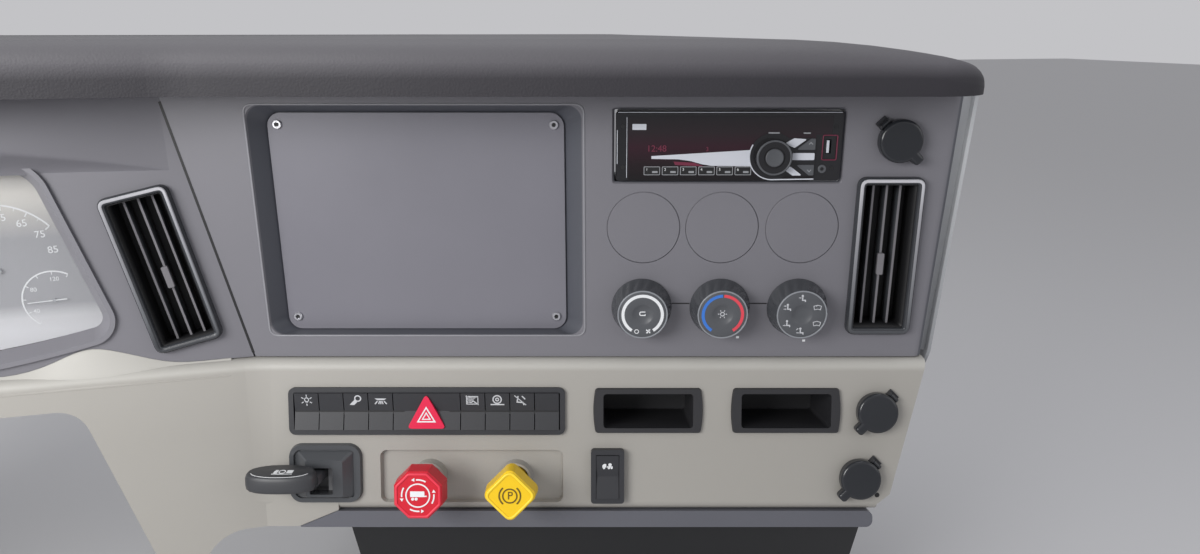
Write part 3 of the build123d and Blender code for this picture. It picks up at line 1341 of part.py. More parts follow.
with BuildPart() as side_cheek:
    with BuildSketch(stack_face.offset(-CHEEK_SET)):
        Polygon(
            (CHEEK_TOP_S, PANEL_TOP),
            (CHEEK_MIDDLE_S, 0),
            (CHEEK_FOOT_S, foot_h),
            (CHEEK_FOOT_S - WALL, foot_h),
            (CHEEK_MIDDLE_S - WALL, 0),
            (CHEEK_TOP_S - WALL, PANEL_TOP),
            align=None,
        )
    extrude(amount=CHEEK_DEPTH, dir=(0, 1, 0))
    with BuildSketch(stack_face.offset(-SIDE_RETURN - SEAT_GAP)):
        Polygon(
            (CHEEK_TOP_S - WALL, PANEL_TOP),
            (CHEEK_MIDDLE_S - WALL, PANEL_FOOT),
            (STACK_RIGHT_FOOT - CHEEK_FLANGE, PANEL_FOOT),
            (STACK_RIGHT_TOP - CHEEK_FLANGE, PANEL_TOP),
            align=None,
        )
    extrude(amount=-WALL)

with BuildPart() as end_cap:
    with BuildSketch(Plane.YZ.offset(WING_LEFT_X - WALL)):
        Polygon(
            (FACE_Y - WING_LEDGE + foot_f, DATUM_Z + foot_h),
            (FACE_Y - WING_LEDGE - ledge_f, DATUM_Z - LEDGE_DROP),
            (FACE_Y, DATUM_Z),
            (FACE_Y, DATUM_Z + PANEL_TOP),
            (FACE_Y + END_DEPTH, DATUM_Z + PANEL_TOP),
            (FACE_Y + END_DEPTH, DATUM_Z + foot_h),
            align=None,
        )
    extrude(amount=WALL)

# The trim seats under the rounded foot of the light panel
foot_sink = FOOT_ROUND * ((1 + sin(tilt)) / cos(tilt) - 1)
trim_top = LOWER_LENGTH - foot_sink + SEAT_GAP
with BuildPart() as lower_trim:
    with BuildSketch(lower_face.offset(TRIM_PROUD)):
        rounded_span((TRIM_LEFT, -trim_top - TRIM_HEIGHT, TRIM_RIGHT, -trim_top), TRIM_ROUND)
    extrude(amount=-TRIM_DEPTH)
    with BuildSketch(lower_face.offset(TRIM_DEPTH)):
        add(foot_strip(SEAT_GAP))
    extrude(amount=-TRIM_DEPTH * 3, mode=Mode.SUBTRACT)

with BuildPart() as knee_panel:
    trim_back = TRIM_DEPTH - TRIM_PROUD + SEAT_GAP
    hook_top = lower_section(trim_top + TRIM_ROUND / 2, -trim_back)
    hook_foot = lower_section(trim_top + TRIM_ROUND / 2 + TRIM_HEIGHT, -trim_back)
    knee_foot = (hook_foot[0] - KNEE_RAKE, hook_foot[1] - KNEE_HEIGHT)
    with BuildSketch(Plane(origin=stack_point(TRIM_RIGHT, 0, 0), x_dir=OUT, z_dir=-RIGHT)):
        Polygon(
            hook_top,
            hook_foot,
            knee_foot,
            (knee_foot[0] - WALL, knee_foot[1]),
            (hook_foot[0] - WALL, hook_foot[1]),
            (hook_top[0] - WALL, hook_top[1]),
            align=None,
        )
    extrude(amount=TRIM_RIGHT - STRIP_END)

save(side_cheek.part, "side_cheek")
save(end_cap.part, "end_cap")
save(lower_trim.part, "lower_trim")
save(knee_panel.part, "knee_panel")

# Cross-car beam, its flanges and the brackets on it
BEAM_Y = -120.0
BEAM_RADIUS = 30.0
BEAM_WALL = 2.5
BEAM_LEFT_OVERHANG = 20.0
BEAM_RIGHT_X = 612.0
FLANGE_SIZE = 110.0
FLANGE_THICK = 8.0
FLANGE_SPACING = 80.0
FLANGE_HOLE = 5.5
COWL_PLATE = (150.0, 110.0)
COWL_SPACING = (110.0, 70.0)
COWL_HOLE = 5.5
COWL_THICK = 6.0
COWL_RIB_X = 30.0
COWL_RIB_HALF = 40.0
COLUMN_PLATE = (120.0, 100.0)
COLUMN_SPACING = (90.0, 70.0)
COLUMN_HOLE = 5.5
COLUMN_DROP = 46.0
COLUMN_SET = 20.0
COLUMN_RIB_X = 28.0
COLUMN_RIB_FRONT = 66.0
COLUMN_RIB_BACK = 26.0
WELD_GAP = 0.2

beam_left_x = WING_LEFT_X - BEAM_LEFT_OVERHANG
beam_plane = Plane(origin=(0, BEAM_Y, 0), x_dir=(0, 1, 0), z_dir=(1, 0, 0))
with BuildPart() as cross_beam:
    with BuildSketch(beam_plane.offset(beam_left_x)):
        Circle(BEAM_RADIUS)
        Circle(BEAM_RADIUS - BEAM_WALL, mode=Mode.SUBTRACT)
    extrude(amount=BEAM_RIGHT_X - beam_left_x)
    for flange_x in (beam_left_x, BEAM_RIGHT_X - FLANGE_THICK):
        with BuildSketch(beam_plane.offset(flange_x)):
            RectangleRounded(FLANGE_SIZE, FLANGE_SIZE, 10)
            Circle(BEAM_RADIUS - BEAM_WALL, mode=Mode.SUBTRACT)
            with GridLocations(FLANGE_SPACING, FLANGE_SPACING, 2, 2):
                Circle(FLANGE_HOLE, mode=Mode.SUBTRACT)
        extrude(amount=FLANGE_THICK)

with BuildPart() as cowl_bracket:
    with BuildSketch(Plane.XZ):
        RectangleRounded(*COWL_PLATE, 8)
        with GridLocations(*COWL_SPACING, 2, 2):
            Circle(COWL_HOLE, mode=Mode.SUBTRACT)
    extrude(amount=COWL_THICK)
    for rib_x in (-COWL_RIB_X, COWL_RIB_X):
        with BuildSketch(Plane.YZ.offset(rib_x - WALL)):
            Polygon(
                (-COWL_THICK, COWL_RIB_HALF),
                (BEAM_Y, BEAM_RADIUS),
                (BEAM_Y, -BEAM_RADIUS),
                (-COWL_THICK, -COWL_RIB_HALF),
                align=None,
            )
            with Locations((BEAM_Y, 0)):
                Circle(BEAM_RADIUS + WELD_GAP, mode=Mode.SUBTRACT)
        extrude(amount=2 * WALL)

with BuildPart() as column_bracket:
    column_x = CREASE_X + CLUSTER_T
    with BuildSketch(Plane.XY.offset(-BEAM_RADIUS - COLUMN_DROP)):
        with Locations((column_x, BEAM_Y - COLUMN_SET)):
            RectangleRounded(*COLUMN_PLATE, 8)
            with GridLocations(*COLUMN_SPACING, 2, 2):
                Circle(COLUMN_HOLE, mode=Mode.SUBTRACT)
    extrude(amount=COWL_THICK)
    for rib_x in (-COLUMN_RIB_X, COLUMN_RIB_X):
        with BuildSketch(Plane.YZ.offset(column_x + rib_x - WALL)):
            Polygon(
                (BEAM_Y - COLUMN_RIB_FRONT, -BEAM_RADIUS - COLUMN_DROP + COWL_THICK),
                (BEAM_Y + COLUMN_RIB_BACK, -BEAM_RADIUS - COLUMN_DROP + COWL_THICK),
                (BEAM_Y + COLUMN_RIB_BACK, 0),
                (BEAM_Y - COLUMN_RIB_BACK, 0),
                align=None,
            )
            with Locations((BEAM_Y, 0)):
                Circle(BEAM_RADIUS + WELD_GAP, mode=Mode.SUBTRACT)
        extrude(amount=2 * WALL)

# Three sheet-steel brackets from the beam to the backs of the panels
BRACKET_THICK = 4.0
RIGHT_BRACKET_X = 592.0
LEFT_BRACKET_SET = 8.0
CREASE_BRACKET_X = 26.0
BRACKET_LIP = 8.0
BRACKET_KNEE = 0.4
BRACKETS = (
    # x, foot, head, turn of the face in plan, lean of the face
    (WING_LEFT_X + LEFT_BRACKET_SET, 30.0, 200.0, 0.0, wing_lean),
    (CREASE_BRACKET_X, 45.0, 200.0, turn, 0.0),
    (RIGHT_BRACKET_X, 168.0, 225.0, turn, 0.0),
)

with BuildPart() as panel_brackets:
    for bracket_x, low, high, face_turn, face_lean in BRACKETS:
        face_foot = FACE_Y - (bracket_x - CREASE_X) * tan(face_turn)
        seat = WALL / cos(face_turn) + BRACKET_THICK / 2 * tan(face_turn) + WELD_GAP
        front_y = face_foot + seat
        knee_y = front_y + (BEAM_Y - front_y) * BRACKET_KNEE
        with BuildSketch(Plane.YZ.offset(bracket_x - BRACKET_THICK / 2)):
            Polygon(
                (front_y + high * tan(face_lean), DATUM_Z + high),
                (front_y + low * tan(face_lean), DATUM_Z + low),
                (knee_y, DATUM_Z + low),
                (BEAM_Y, -BEAM_RADIUS - BRACKET_LIP),
                (BEAM_Y, BEAM_RADIUS + BRACKET_LIP),
                (knee_y, DATUM_Z + high),
                align=None,
            )
            with Locations((BEAM_Y, 0)):
                Circle(BEAM_RADIUS + WELD_GAP, mode=Mode.SUBTRACT)
        extrude(amount=BRACKET_THICK)
save(panel_brackets.part, "panel_brackets")

save(cross_beam.part, "cross_beam")
save(cowl_bracket.part, "cowl_bracket")
save(column_bracket.part, "column_bracket")
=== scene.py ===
import json
import math

import bmesh
import bpy
from mathutils import Matrix, Vector


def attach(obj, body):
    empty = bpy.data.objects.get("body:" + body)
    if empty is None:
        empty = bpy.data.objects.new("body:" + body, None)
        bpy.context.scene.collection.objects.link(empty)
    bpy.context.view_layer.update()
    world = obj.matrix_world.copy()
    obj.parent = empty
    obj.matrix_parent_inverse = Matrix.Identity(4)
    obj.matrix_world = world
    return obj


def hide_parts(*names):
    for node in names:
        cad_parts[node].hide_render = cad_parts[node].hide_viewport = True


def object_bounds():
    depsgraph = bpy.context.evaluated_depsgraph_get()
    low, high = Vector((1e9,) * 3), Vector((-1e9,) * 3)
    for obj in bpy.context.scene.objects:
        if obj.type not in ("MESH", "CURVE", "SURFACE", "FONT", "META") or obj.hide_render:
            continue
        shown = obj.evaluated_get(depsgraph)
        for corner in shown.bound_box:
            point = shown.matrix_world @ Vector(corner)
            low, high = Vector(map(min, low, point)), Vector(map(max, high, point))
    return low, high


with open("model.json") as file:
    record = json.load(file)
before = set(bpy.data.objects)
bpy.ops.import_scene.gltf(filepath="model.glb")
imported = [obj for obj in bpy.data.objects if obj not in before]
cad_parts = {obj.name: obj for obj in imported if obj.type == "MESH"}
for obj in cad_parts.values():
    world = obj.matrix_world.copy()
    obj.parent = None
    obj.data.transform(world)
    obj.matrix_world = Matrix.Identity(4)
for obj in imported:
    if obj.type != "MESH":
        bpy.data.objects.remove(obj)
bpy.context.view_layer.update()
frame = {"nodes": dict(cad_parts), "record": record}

# The CAD model's parts, and the body that the details ride on
NODES = frame["nodes"]
ROOT = "dashboard"

# Driving dimensions of the dashboard, in metres and radians
TURN = math.radians(14.0)
TILT = math.radians(12.0)
CREASE = Vector((0.020, -0.310, -0.090))
CREASE_S = -0.310
CREASE_RUN = 0.052
CREASE_RISE = 0.228
LEDGE = 0.010
MM = 0.001

UP = Vector((0, 0, 1))
RIGHT = Vector((math.cos(TURN), -math.sin(TURN), 0))
OUT = Vector((-math.sin(TURN), -math.cos(TURN), 0))
DATUM = CREASE - RIGHT * CREASE_S


def face_matrix(origin, x_dir, normal):
    """Local x along the face, y up it and z out of it."""
    y_dir = normal.cross(x_dir)
    axes = Matrix((x_dir, y_dir, normal)).transposed().to_4x4()
    return Matrix.Translation(origin) @ axes


def stack_point(s, out, h):
    return DATUM + RIGHT * s + OUT * out + UP * h


def spot(face, x, y, lift=0.0, angle=0.0, pitch=0.0):
    """A face moved to a point on it, in millimetres, and turned in it or pitched up."""
    place = Matrix.Translation(Vector((x, y, lift)) * MM)
    in_face = Matrix.Rotation(math.radians(angle), 4, "Z")
    up_face = Matrix.Rotation(math.radians(pitch), 4, "X")
    return face @ place @ in_face @ up_face


# Faces that the details lie on
STACK = face_matrix(DATUM, RIGHT, OUT)
LOWER_NORMAL = OUT * math.cos(TILT) + UP * math.sin(TILT)
LOWER = face_matrix(DATUM + OUT * LEDGE - UP * LEDGE, RIGHT, LOWER_NORMAL)
lean = math.atan(CREASE_RUN * math.sin(TURN) / CREASE_RISE)
WING = face_matrix(CREASE, Vector((1, 0, 0)), Vector((0, -math.cos(lean), math.sin(lean))))
CLUSTER_X = -320.0
CLUSTER = spot(WING, CLUSTER_X, 0.0)

# Camera, at the photograph's viewpoint
FOCAL_PX = 826.0
IMAGE_WIDTH = 1200.0
CAMERA_OUT = 0.690
CAMERA_H = 0.283
CAMERA_PITCH = math.radians(16.8)
SENSOR = 36.0

camera_data = bpy.data.cameras.new("camera")
camera_data.sensor_width = SENSOR
camera_data.lens = FOCAL_PX / IMAGE_WIDTH * SENSOR
camera_data.clip_start = 0.01
camera = bpy.data.objects.new("camera", camera_data)
camera.location = stack_point(0, CAMERA_OUT, CAMERA_H)
camera.rotation_euler = (math.pi / 2 - CAMERA_PITCH, 0, -TURN)
bpy.context.scene.collection.objects.link(camera)
bpy.context.scene.camera = camera

# Stage: a pale floor, soft lamps and a pale world as the backdrop
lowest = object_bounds()[0]
FLOOR_DROP = 0.03
STAGE_HALF = 14.0
STAGE_COLOUR = (0.5, 0.5, 0.51, 1)
WORLD_COLOUR = (0.88, 0.88, 0.91, 1)
WORLD_STRENGTH = 0.62


def plain_stage(name, points, colour):
    mesh = bpy.data.meshes.new(name)
    mesh.from_pydata(points, [], [tuple(range(len(points)))])
    obj = bpy.data.objects.new(name, mesh)
    bpy.context.scene.collection.objects.link(obj)
    material = bpy.data.materials.new(name)
    material.use_nodes = True
    shader = material.node_tree.nodes["Principled BSDF"]
    shader.inputs["Base Color"].default_value = colour
    shader.inputs["Roughness"].default_value = 0.9
    mesh.materials.append(material)


floor_z = lowest.z - FLOOR_DROP
left_back = (-STAGE_HALF, STAGE_HALF, floor_z)
right_back = (STAGE_HALF, STAGE_HALF, floor_z)
left_front = (-STAGE_HALF, -STAGE_HALF, floor_z)
right_front = (STAGE_HALF, -STAGE_HALF, floor_z)
plain_stage("floor", [left_front, right_front, right_back, left_back], STAGE_COLOUR)

world = bpy.data.worlds.new("world")
world.use_nodes = True
backdrop = world.node_tree.nodes["Background"]
backdrop.inputs["Color"].default_value = WORLD_COLOUR
backdrop.inputs["Strength"].default_value = WORLD_STRENGTH
bpy.context.scene.world = world
bpy.context.scene.view_settings.view_transform = "Standard"


def area_lamp(name, place, target, size, power, colour):
    data = bpy.data.lights.new(name, "AREA")
    data.shape = "RECTANGLE"
    data.size, data.size_y = size
    data.energy = power
    data.color = colour
    lamp = bpy.data.objects.new(name, data)
    lamp.location = place
    lamp.rotation_euler = (Vector(target) - Vector(place)).to_track_quat("-Z", "Y").to_euler()
    bpy.context.scene.collection.objects.link(lamp)


area_lamp("key_lamp", (-0.8, -1.15, 0.42), (0.2, -0.35, 0.0), (0.8, 0.6), 15.0, (1.0, 0.995, 0.985))
area_lamp("top_lamp", (0.3, -0.1, 1.9), (0.2, -0.2, 0.0), (2.4, 1.2), 15.0, (0.96, 0.97, 1.0))
area_lamp("fill_lamp", (1.8, -1.8, 0.6), (0.3, -0.35, 0.0), (1.2, 1.0), 3.0, (0.97, 0.98, 1.0))


# Materials
GRAIN_STRENGTH = 0.6
BROAD_SCALE = 9.0
GLOSS_SPREAD = 0.05


def srgb(r, g, b):
    """A colour given as eight-bit screen values, as the shader wants it."""
    def channel(value):
        value /= 255.0
        return value / 12.92 if value <= 0.04045 else ((value + 0.055) / 1.055) ** 2.4

    return (channel(r), channel(g), channel(b), 1.0)


def plastic(name, colour, roughness, grain=0.6, depth=0.08, mottle=0.06, cells=False, **extra):
    """Moulded plastic: a fine grain in relief, and a faint change of colour and gloss over it."""
    material = bpy.data.materials.new(name)
    material.use_nodes = True
    tree = material.node_tree
    shader = tree.nodes["Principled BSDF"]
    for socket, value in extra.items():
        shader.inputs[socket.replace("_", " ")].default_value = value
    coords = tree.nodes.new("ShaderNodeTexCoord")
    if cells:
        grain_node = tree.nodes.new("ShaderNodeTexVoronoi")
        grain_node.feature = "SMOOTH_F1"
        grain_out = grain_node.outputs["Distance"]
    else:
        grain_node = tree.nodes.new("ShaderNodeTexNoise")
        grain_node.inputs["Detail"].default_value = 2.0
        grain_out = grain_node.outputs["Fac"]
    grain_node.inputs["Scale"].default_value = 1.0 / (grain * MM)
    tree.links.new(coords.outputs["Object"], grain_node.inputs["Vector"])
    bump = tree.nodes.new("ShaderNodeBump")
    bump.inputs["Strength"].default_value = GRAIN_STRENGTH
    bump.inputs["Distance"].default_value = depth * MM
    tree.links.new(grain_out, bump.inputs["Height"])
    tree.links.new(bump.outputs["Normal"], shader.inputs["Normal"])
    broad = tree.nodes.new("ShaderNodeTexNoise")
    broad.inputs["Scale"].default_value = BROAD_SCALE
    broad.inputs["Detail"].default_value = 5.0
    tree.links.new(coords.outputs["Object"], broad.inputs["Vector"])
    mix = tree.nodes.new("ShaderNodeMix")
    mix.data_type = "RGBA"
    mix.inputs["A"].default_value = tuple(c * (1 - mottle) for c in colour[:3]) + (1,)
    mix.inputs["B"].default_value = tuple(min(1, c * (1 + mottle)) for c in colour[:3]) + (1,)
    tree.links.new(broad.outputs["Fac"], mix.inputs["Factor"])
    tree.links.new(mix.outputs["Result"], shader.inputs["Base Color"])
    spread = tree.nodes.new("ShaderNodeMapRange")
    spread.inputs["To Min"].default_value = max(0.02, roughness - GLOSS_SPREAD)
    spread.inputs["To Max"].default_value = min(1.0, roughness + GLOSS_SPREAD)
    tree.links.new(broad.outputs["Fac"], spread.inputs["Value"])
    tree.links.new(spread.outputs["Result"], shader.inputs["Roughness"])
    return material


def tint(material, axis, stops):
    """Lays colours over a material's own, by the distance along an axis in millimetres."""
    tree = material.node_tree
    shader = tree.nodes["Principled BSDF"]
    coords = tree.nodes.new("ShaderNodeTexCoord")
    along = tree.nodes.new("ShaderNodeVectorMath")
    along.operation = "DOT_PRODUCT"
    along.inputs[1].default_value = axis
    tree.links.new(coords.outputs["Object"], along.inputs[0])
    low, high = stops[0][0], stops[-1][0]
    span = tree.nodes.new("ShaderNodeMapRange")
    span.inputs["From Min"].default_value = low * MM
    span.inputs["From Max"].default_value = high * MM
    tree.links.new(along.outputs["Value"], span.inputs["Value"])
    ramp = tree.nodes.new("ShaderNodeValToRGB")
    tree.links.new(span.outputs["Result"], ramp.inputs["Fac"])
    elements = ramp.color_ramp.elements
    elements.remove(elements[1])
    elements[0].position = 0.0
    elements[0].color = stops[0][1]
    for distance, colour in stops[1:]:
        elements.new((distance - low) / (high - low)).color = colour
    tree.links.new(ramp.outputs["Color"], shader.inputs["Base Color"])
    return material


MATERIALS = {
    "soft_pad": plastic("soft_pad", srgb(92, 91, 95), 0.62, grain=1.6, depth=0.25, cells=True),
    "panel_dark": plastic("panel_dark", srgb(118, 117, 123), 0.5, grain=0.7),
    "panel_light": plastic("panel_light", srgb(158, 155, 149), 0.5, grain=0.7, mottle=0.03),
    "dark_plastic": plastic("dark_plastic", srgb(42, 42, 45), 0.5),
    "cover_black": plastic("cover_black", srgb(120, 119, 127), 0.36, grain=0.8),
    "beam_steel": plastic("beam_steel", srgb(38, 38, 40), 0.45, grain=3.0, depth=0.1),
    "gloss_black": plastic(
        "gloss_black", srgb(30, 30, 33), 0.2, grain=4.0, depth=0.02, Coat_Weight=0.3
    ),
    "zinc_steel": plastic("zinc_steel", srgb(180, 180, 182), 0.35, Metallic=0.8),
    "clear_window": plastic("clear_window", srgb(210, 212, 216), 0.06, depth=0.001, Alpha=0.12),
    "dial_face": plastic("dial_face", srgb(150, 150, 154), 0.5),
    "needle_red": plastic("needle_red", srgb(210, 70, 40), 0.4),
    "switch_black": plastic("switch_black", srgb(44, 45, 49), 0.5, grain=0.8),
    "cast_alloy": plastic("cast_alloy", srgb(150, 150, 152), 0.45),
    "knob_red": plastic("knob_red", srgb(205, 22, 44), 0.35, grain=3.0, depth=0.03),
    "knob_yellow": plastic("knob_yellow", srgb(240, 198, 20), 0.35, grain=3.0, depth=0.03),
    "knob_black": plastic("knob_black", srgb(40, 41, 44), 0.26, grain=3.0, depth=0.03),
    "vent_satin": plastic("vent_satin", srgb(66, 68, 73), 0.35, grain=3.0, depth=0.03),
}
MARK_WHITE = plastic("mark_white", srgb(228, 230, 232), 0.5)
MARK_GREY = plastic("mark_grey", srgb(150, 152, 156), 0.5)
MARK_DARK = plastic("mark_dark", srgb(22, 22, 24), 0.5)
MARK_BROWN = plastic("mark_brown", srgb(96, 74, 10), 0.5)
RIM_SATIN = plastic("rim_satin", srgb(138, 141, 146), 0.24, grain=3.0, depth=0.02)
RIM_EDGE = plastic("rim_edge", srgb(120, 118, 122), 0.35, grain=3.0, depth=0.02)
EDGE_GREY = plastic("edge_grey", srgb(140, 140, 145), 0.32, grain=3.0, depth=0.02)
VENT_RIM = plastic("vent_rim", srgb(58, 60, 64), 0.25, grain=3.0, depth=0.02)
VENT_FACE = plastic("vent_face", srgb(204, 204, 209), 0.3, grain=3.0, depth=0.02)
# Painted shade: the vane blades are darker than their front edges, for the shade on their sides
VANE_SHADE_GREY = plastic("vane_grey", srgb(52, 54, 58), 0.4, grain=3.0, depth=0.02)
KNOB_GLOSS = plastic("knob_gloss", srgb(70, 72, 76), 0.16, grain=3.0, depth=0.02)
LEVER_BLACK = plastic("lever_black", srgb(58, 59, 62), 0.42, grain=0.9)
MARK_LIGHT = plastic("mark_light", srgb(196, 198, 202), 0.5)
# Painted reflection: the vents' faces are painted darker at the bottom and lighter at the top, as
# light from above falls on them
VENT_REFLECTION_STOPS = (
    (-70, srgb(62, 64, 68)),
    (-45, srgb(104, 106, 110)),
    (40, srgb(158, 158, 163)),
    (72, srgb(200, 200, 205)),
)
tint(VENT_FACE, UP, VENT_REFLECTION_STOPS)
SCREW_METAL = plastic("screw_metal", srgb(200, 200, 205), 0.3, Metallic=0.9)
FACE_SLATE = plastic("face_slate", srgb(82, 84, 88), 0.4, grain=0.8)
ARC_BLUE = plastic("arc_blue", srgb(58, 118, 205), 0.45)
ARC_RED = plastic("arc_red", srgb(222, 70, 84), 0.45)
HAZARD_RED = plastic("hazard_red", srgb(222, 20, 70), 0.4, grain=3.0, depth=0.03)
# Painted highlight: the valve knobs' rims are lighter copies of the knobs' red and yellow
RED_RIM_HIGHLIGHT = plastic("red_rim", srgb(226, 52, 74), 0.35, grain=3.0, depth=0.03)
YELLOW_RIM_HIGHLIGHT = plastic("yellow_rim", srgb(250, 214, 50), 0.35, grain=3.0, depth=0.03)
KEY_SILVER = plastic("key_silver", srgb(205, 208, 216), 0.3, grain=3.0, depth=0.02)
GLOW_RED = plastic("glow_red", srgb(112, 38, 62), 0.4)
DISPLAY_STOPS = (
    (70, srgb(22, 20, 22)),
    (84, srgb(34, 24, 28)),
    (98, srgb(50, 26, 36)),
    (110, srgb(42, 34, 38)),
    (124, srgb(38, 36, 39)),
)
DISPLAY = tint(plastic("display", srgb(34, 30, 34), 0.14, depth=0.002), UP, DISPLAY_STOPS)
# Painted shade: the pad is painted dark on its lower front and lip, under its nose, and lighter
# towards its top
PAD_SHADE_STOPS = (
    (143, srgb(40, 38, 44)),
    (157, srgb(42, 40, 46)),
    (168, srgb(84, 82, 87)),
    (186, srgb(94, 93, 96)),
)
tint(MATERIALS["soft_pad"], UP, PAD_SHADE_STOPS)
# Painted reflection: the dial face is painted bright along its bottom, grey in the middle and lighter
# again at the top, for the reflections in the window
DIAL_REFLECTION_STOPS = (
    (-62, srgb(222, 222, 226)),
    (-50, srgb(205, 205, 208)),
    (-38, srgb(140, 140, 144)),
    (20, srgb(132, 132, 136)),
    (40, srgb(176, 173, 168)),
    (60, srgb(216, 212, 203)),
)
tint(MATERIALS["dial_face"], UP, DIAL_REFLECTION_STOPS)
# Painted light: the side cheek is painted dark low down and light at the top, as the light falls on it
CHEEK_LIGHT_STOPS = ((-260, srgb(70, 70, 74)), (-95, srgb(150, 152, 155)), (140, srgb(200, 202, 204)))
# The light panel's ledge catches more light than its faces
LEDGE_AT = CREASE.z / MM
LEDGE_STOPS = (
    (LEDGE_AT - 60.0, srgb(158, 155, 149)),
    (LEDGE_AT - 10.0, srgb(162, 159, 153)),
    (LEDGE_AT - 6.0, srgb(178, 176, 170)),
    (LEDGE_AT, srgb(182, 180, 174)),
)
tint(MATERIALS["panel_light"], UP, LEDGE_STOPS)
# Painted shade: the stack's face is painted darker behind its front plane, on the walls of the bay
FACE_AT = DATUM.dot(OUT) / MM
BAY_SHADE_STOPS = (
    (FACE_AT - 20.0, srgb(78, 80, 88)),
    (FACE_AT - 1.6, srgb(84, 86, 93)),
    (FACE_AT - 0.9, srgb(118, 117, 123)),
    (FACE_AT + 2.0, srgb(118, 117, 123)),
)
NODE_FINISH = {
    "centre_panel": tint(plastic("stack_grey", srgb(118, 117, 123), 0.45, grain=0.7), OUT, BAY_SHADE_STOPS),
    "knee_panel": plastic("knee_black", srgb(27, 28, 30), 0.5),
    "lower_trim": plastic("trim_grey", srgb(92, 93, 100), 0.42),
    "side_cheek": tint(plastic("cheek_grey", srgb(90, 90, 93), 0.45), UP, CHEEK_LIGHT_STOPS),
    "cluster_bezel": plastic("bezel_grey", srgb(124, 123, 129), 0.45),
    "lever_bezel": plastic("lever_satin", srgb(74, 76, 79), 0.22, grain=3.0, depth=0.02),
}
CAP_GLOSS = plastic("cap_gloss", srgb(40, 42, 46), 0.2, grain=3.0, depth=0.02)
NODE_FINISH |= {f"{place}_outlet_cap": CAP_GLOSS for place in ("upper", "middle", "lower")}

SLOT_OF = {row["node"]: row["material_slot"] for row in frame["record"]["subparts"]}
for node, obj in NODES.items():
    obj.data.materials.clear()
    obj.data.materials.append(NODE_FINISH.get(node, MATERIALS[SLOT_OF[node]]))


# Outlines: lists of points in millimetres
MITRE_LIMIT = 0.5


def circle(x, y, radius, count=40):
    turns = [2 * math.pi * step / count for step in range(count)]
    return [(x + radius * math.cos(turn), y + radius * math.sin(turn)) for turn in turns]


def ring(x, y, inner, outer):
    return [circle(x, y, outer), circle(x, y, inner)]


def arc(x, y, radius, start, end, count=32):
    turns = [math.radians(start + (end - start) * step / count) for step in range(count + 1)]
    return [(x + radius * math.cos(turn), y + radius * math.sin(turn)) for turn in turns]


def band(x, y, inner, outer, start, end, count=32):
    """Part of a ring, between two angles in degrees."""
    return [arc(x, y, outer, start, end, count) + arc(x, y, inner, end, start, count)]


def rounded(points, radius, steps=5):
    """A closed outline with its corners rounded."""
    result = []
    for index, point in enumerate(points):
        corner = Vector(point)
        before = Vector(points[index - 1]) - corner
        after = Vector(points[(index + 1) % len(points)]) - corner
        half = before.angle(after) / 2
        reach = min(radius / math.tan(half), before.length / 2, after.length / 2)
        start = corner + before.normalized() * reach
        end = corner + after.normalized() * reach
        for step in range(steps + 1):
            t = step / steps
            result.append(tuple(start * (1 - t) ** 2 + corner * 2 * t * (1 - t) + end * t**2))
    return result


def box(left, bottom, right, top, corner=0.0):
    points = [(left, bottom), (right, bottom), (right, top), (left, top)]
    return rounded(points, corner) if corner else points


def stroke(points, width):
    """A line of a given width, with mitred bends."""
    left, right = [], []
    for index, point in enumerate(points):
        here = Vector(point)
        into = (here - Vector(points[index - 1])).normalized() if index else None
        out = (Vector(points[index + 1]) - here).normalized() if index + 1 < len(points) else None
        way = (into + out).normalized() if into and out else into or out
        side = Vector((-way.y, way.x))
        line = into or out
        reach = width / 2 / max(MITRE_LIMIT, abs(side.dot(Vector((-line.y, line.x)))))
        left.append(tuple(here + side * reach))
        right.append(tuple(here - side * reach))
    return [left + right[::-1]]


def placed(groups, x, y, scale=1.0, angle=0.0):
    """Groups of outlines, scaled, turned and moved."""
    turn = math.radians(angle)
    cos, sin = math.cos(turn) * scale, math.sin(turn) * scale

    def moved(loop):
        return [(x + px * cos - py * sin, y + px * sin + py * cos) for px, py in loop]

    return [[moved(loop) for loop in group] for group in groups]


def repeated(groups, x, y, count):
    """Groups of outlines, repeated by turning them round a point."""
    result = []
    for step in range(count):
        result += placed(groups, x, y, 1.0, 360 * step / count)
    return result


# Builders: each makes one closed piece from millimetres on a face, and rides it on a body
SHARP_ANGLE = math.radians(40)
WELD = 0.0005


def add_piece(name, face, work, finish, body=ROOT, smooth=False):
    bmesh.ops.recalc_face_normals(work, faces=work.faces)
    work.transform(face @ Matrix.Scale(MM, 4))
    mesh = bpy.data.meshes.new(name)
    work.to_mesh(mesh)
    work.free()
    mesh.materials.append(finish)
    if smooth:
        mesh.shade_smooth()
        mesh.set_sharp_from_angle(angle=SHARP_ANGLE)
    piece = bpy.data.objects.new(name, mesh)
    bpy.context.scene.collection.objects.link(piece)
    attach(piece, body)
    return piece


def curve_solid(work, data, middle):
    """Adds a filled, extruded curve to the work as one closed solid."""
    carrier = bpy.data.objects.new("outline", data)
    mesh = bpy.data.meshes.new_from_object(carrier)
    part = bmesh.new()
    part.from_mesh(mesh)
    bmesh.ops.remove_doubles(part, verts=part.verts, dist=WELD)
    bmesh.ops.translate(part, verts=part.verts, vec=(0, 0, middle))
    part.to_mesh(mesh)
    part.free()
    work.from_mesh(mesh)
    bpy.data.objects.remove(carrier)
    bpy.data.meshes.remove(mesh)


def add_flat(name, face, groups, low, high, finish, slot, body=ROOT):
    """Flat outlines, each group with its holes, raised from one height to another."""
    work = bmesh.new()
    for loops in groups:
        data = bpy.data.curves.new("outline", "CURVE")
        data.dimensions = "2D"
        data.fill_mode = "BOTH"
        data.extrude = (high - low) / 2
        for loop in loops:
            spline = data.splines.new("POLY")
            spline.points.add(len(loop) - 1)
            for point, (x, y) in zip(spline.points, loop):
                point.co = (x, y, 0, 1)
            spline.use_cyclic_u = True
        curve_solid(work, data, (low + high) / 2)
    return add_piece(name, face, work, finish, body)


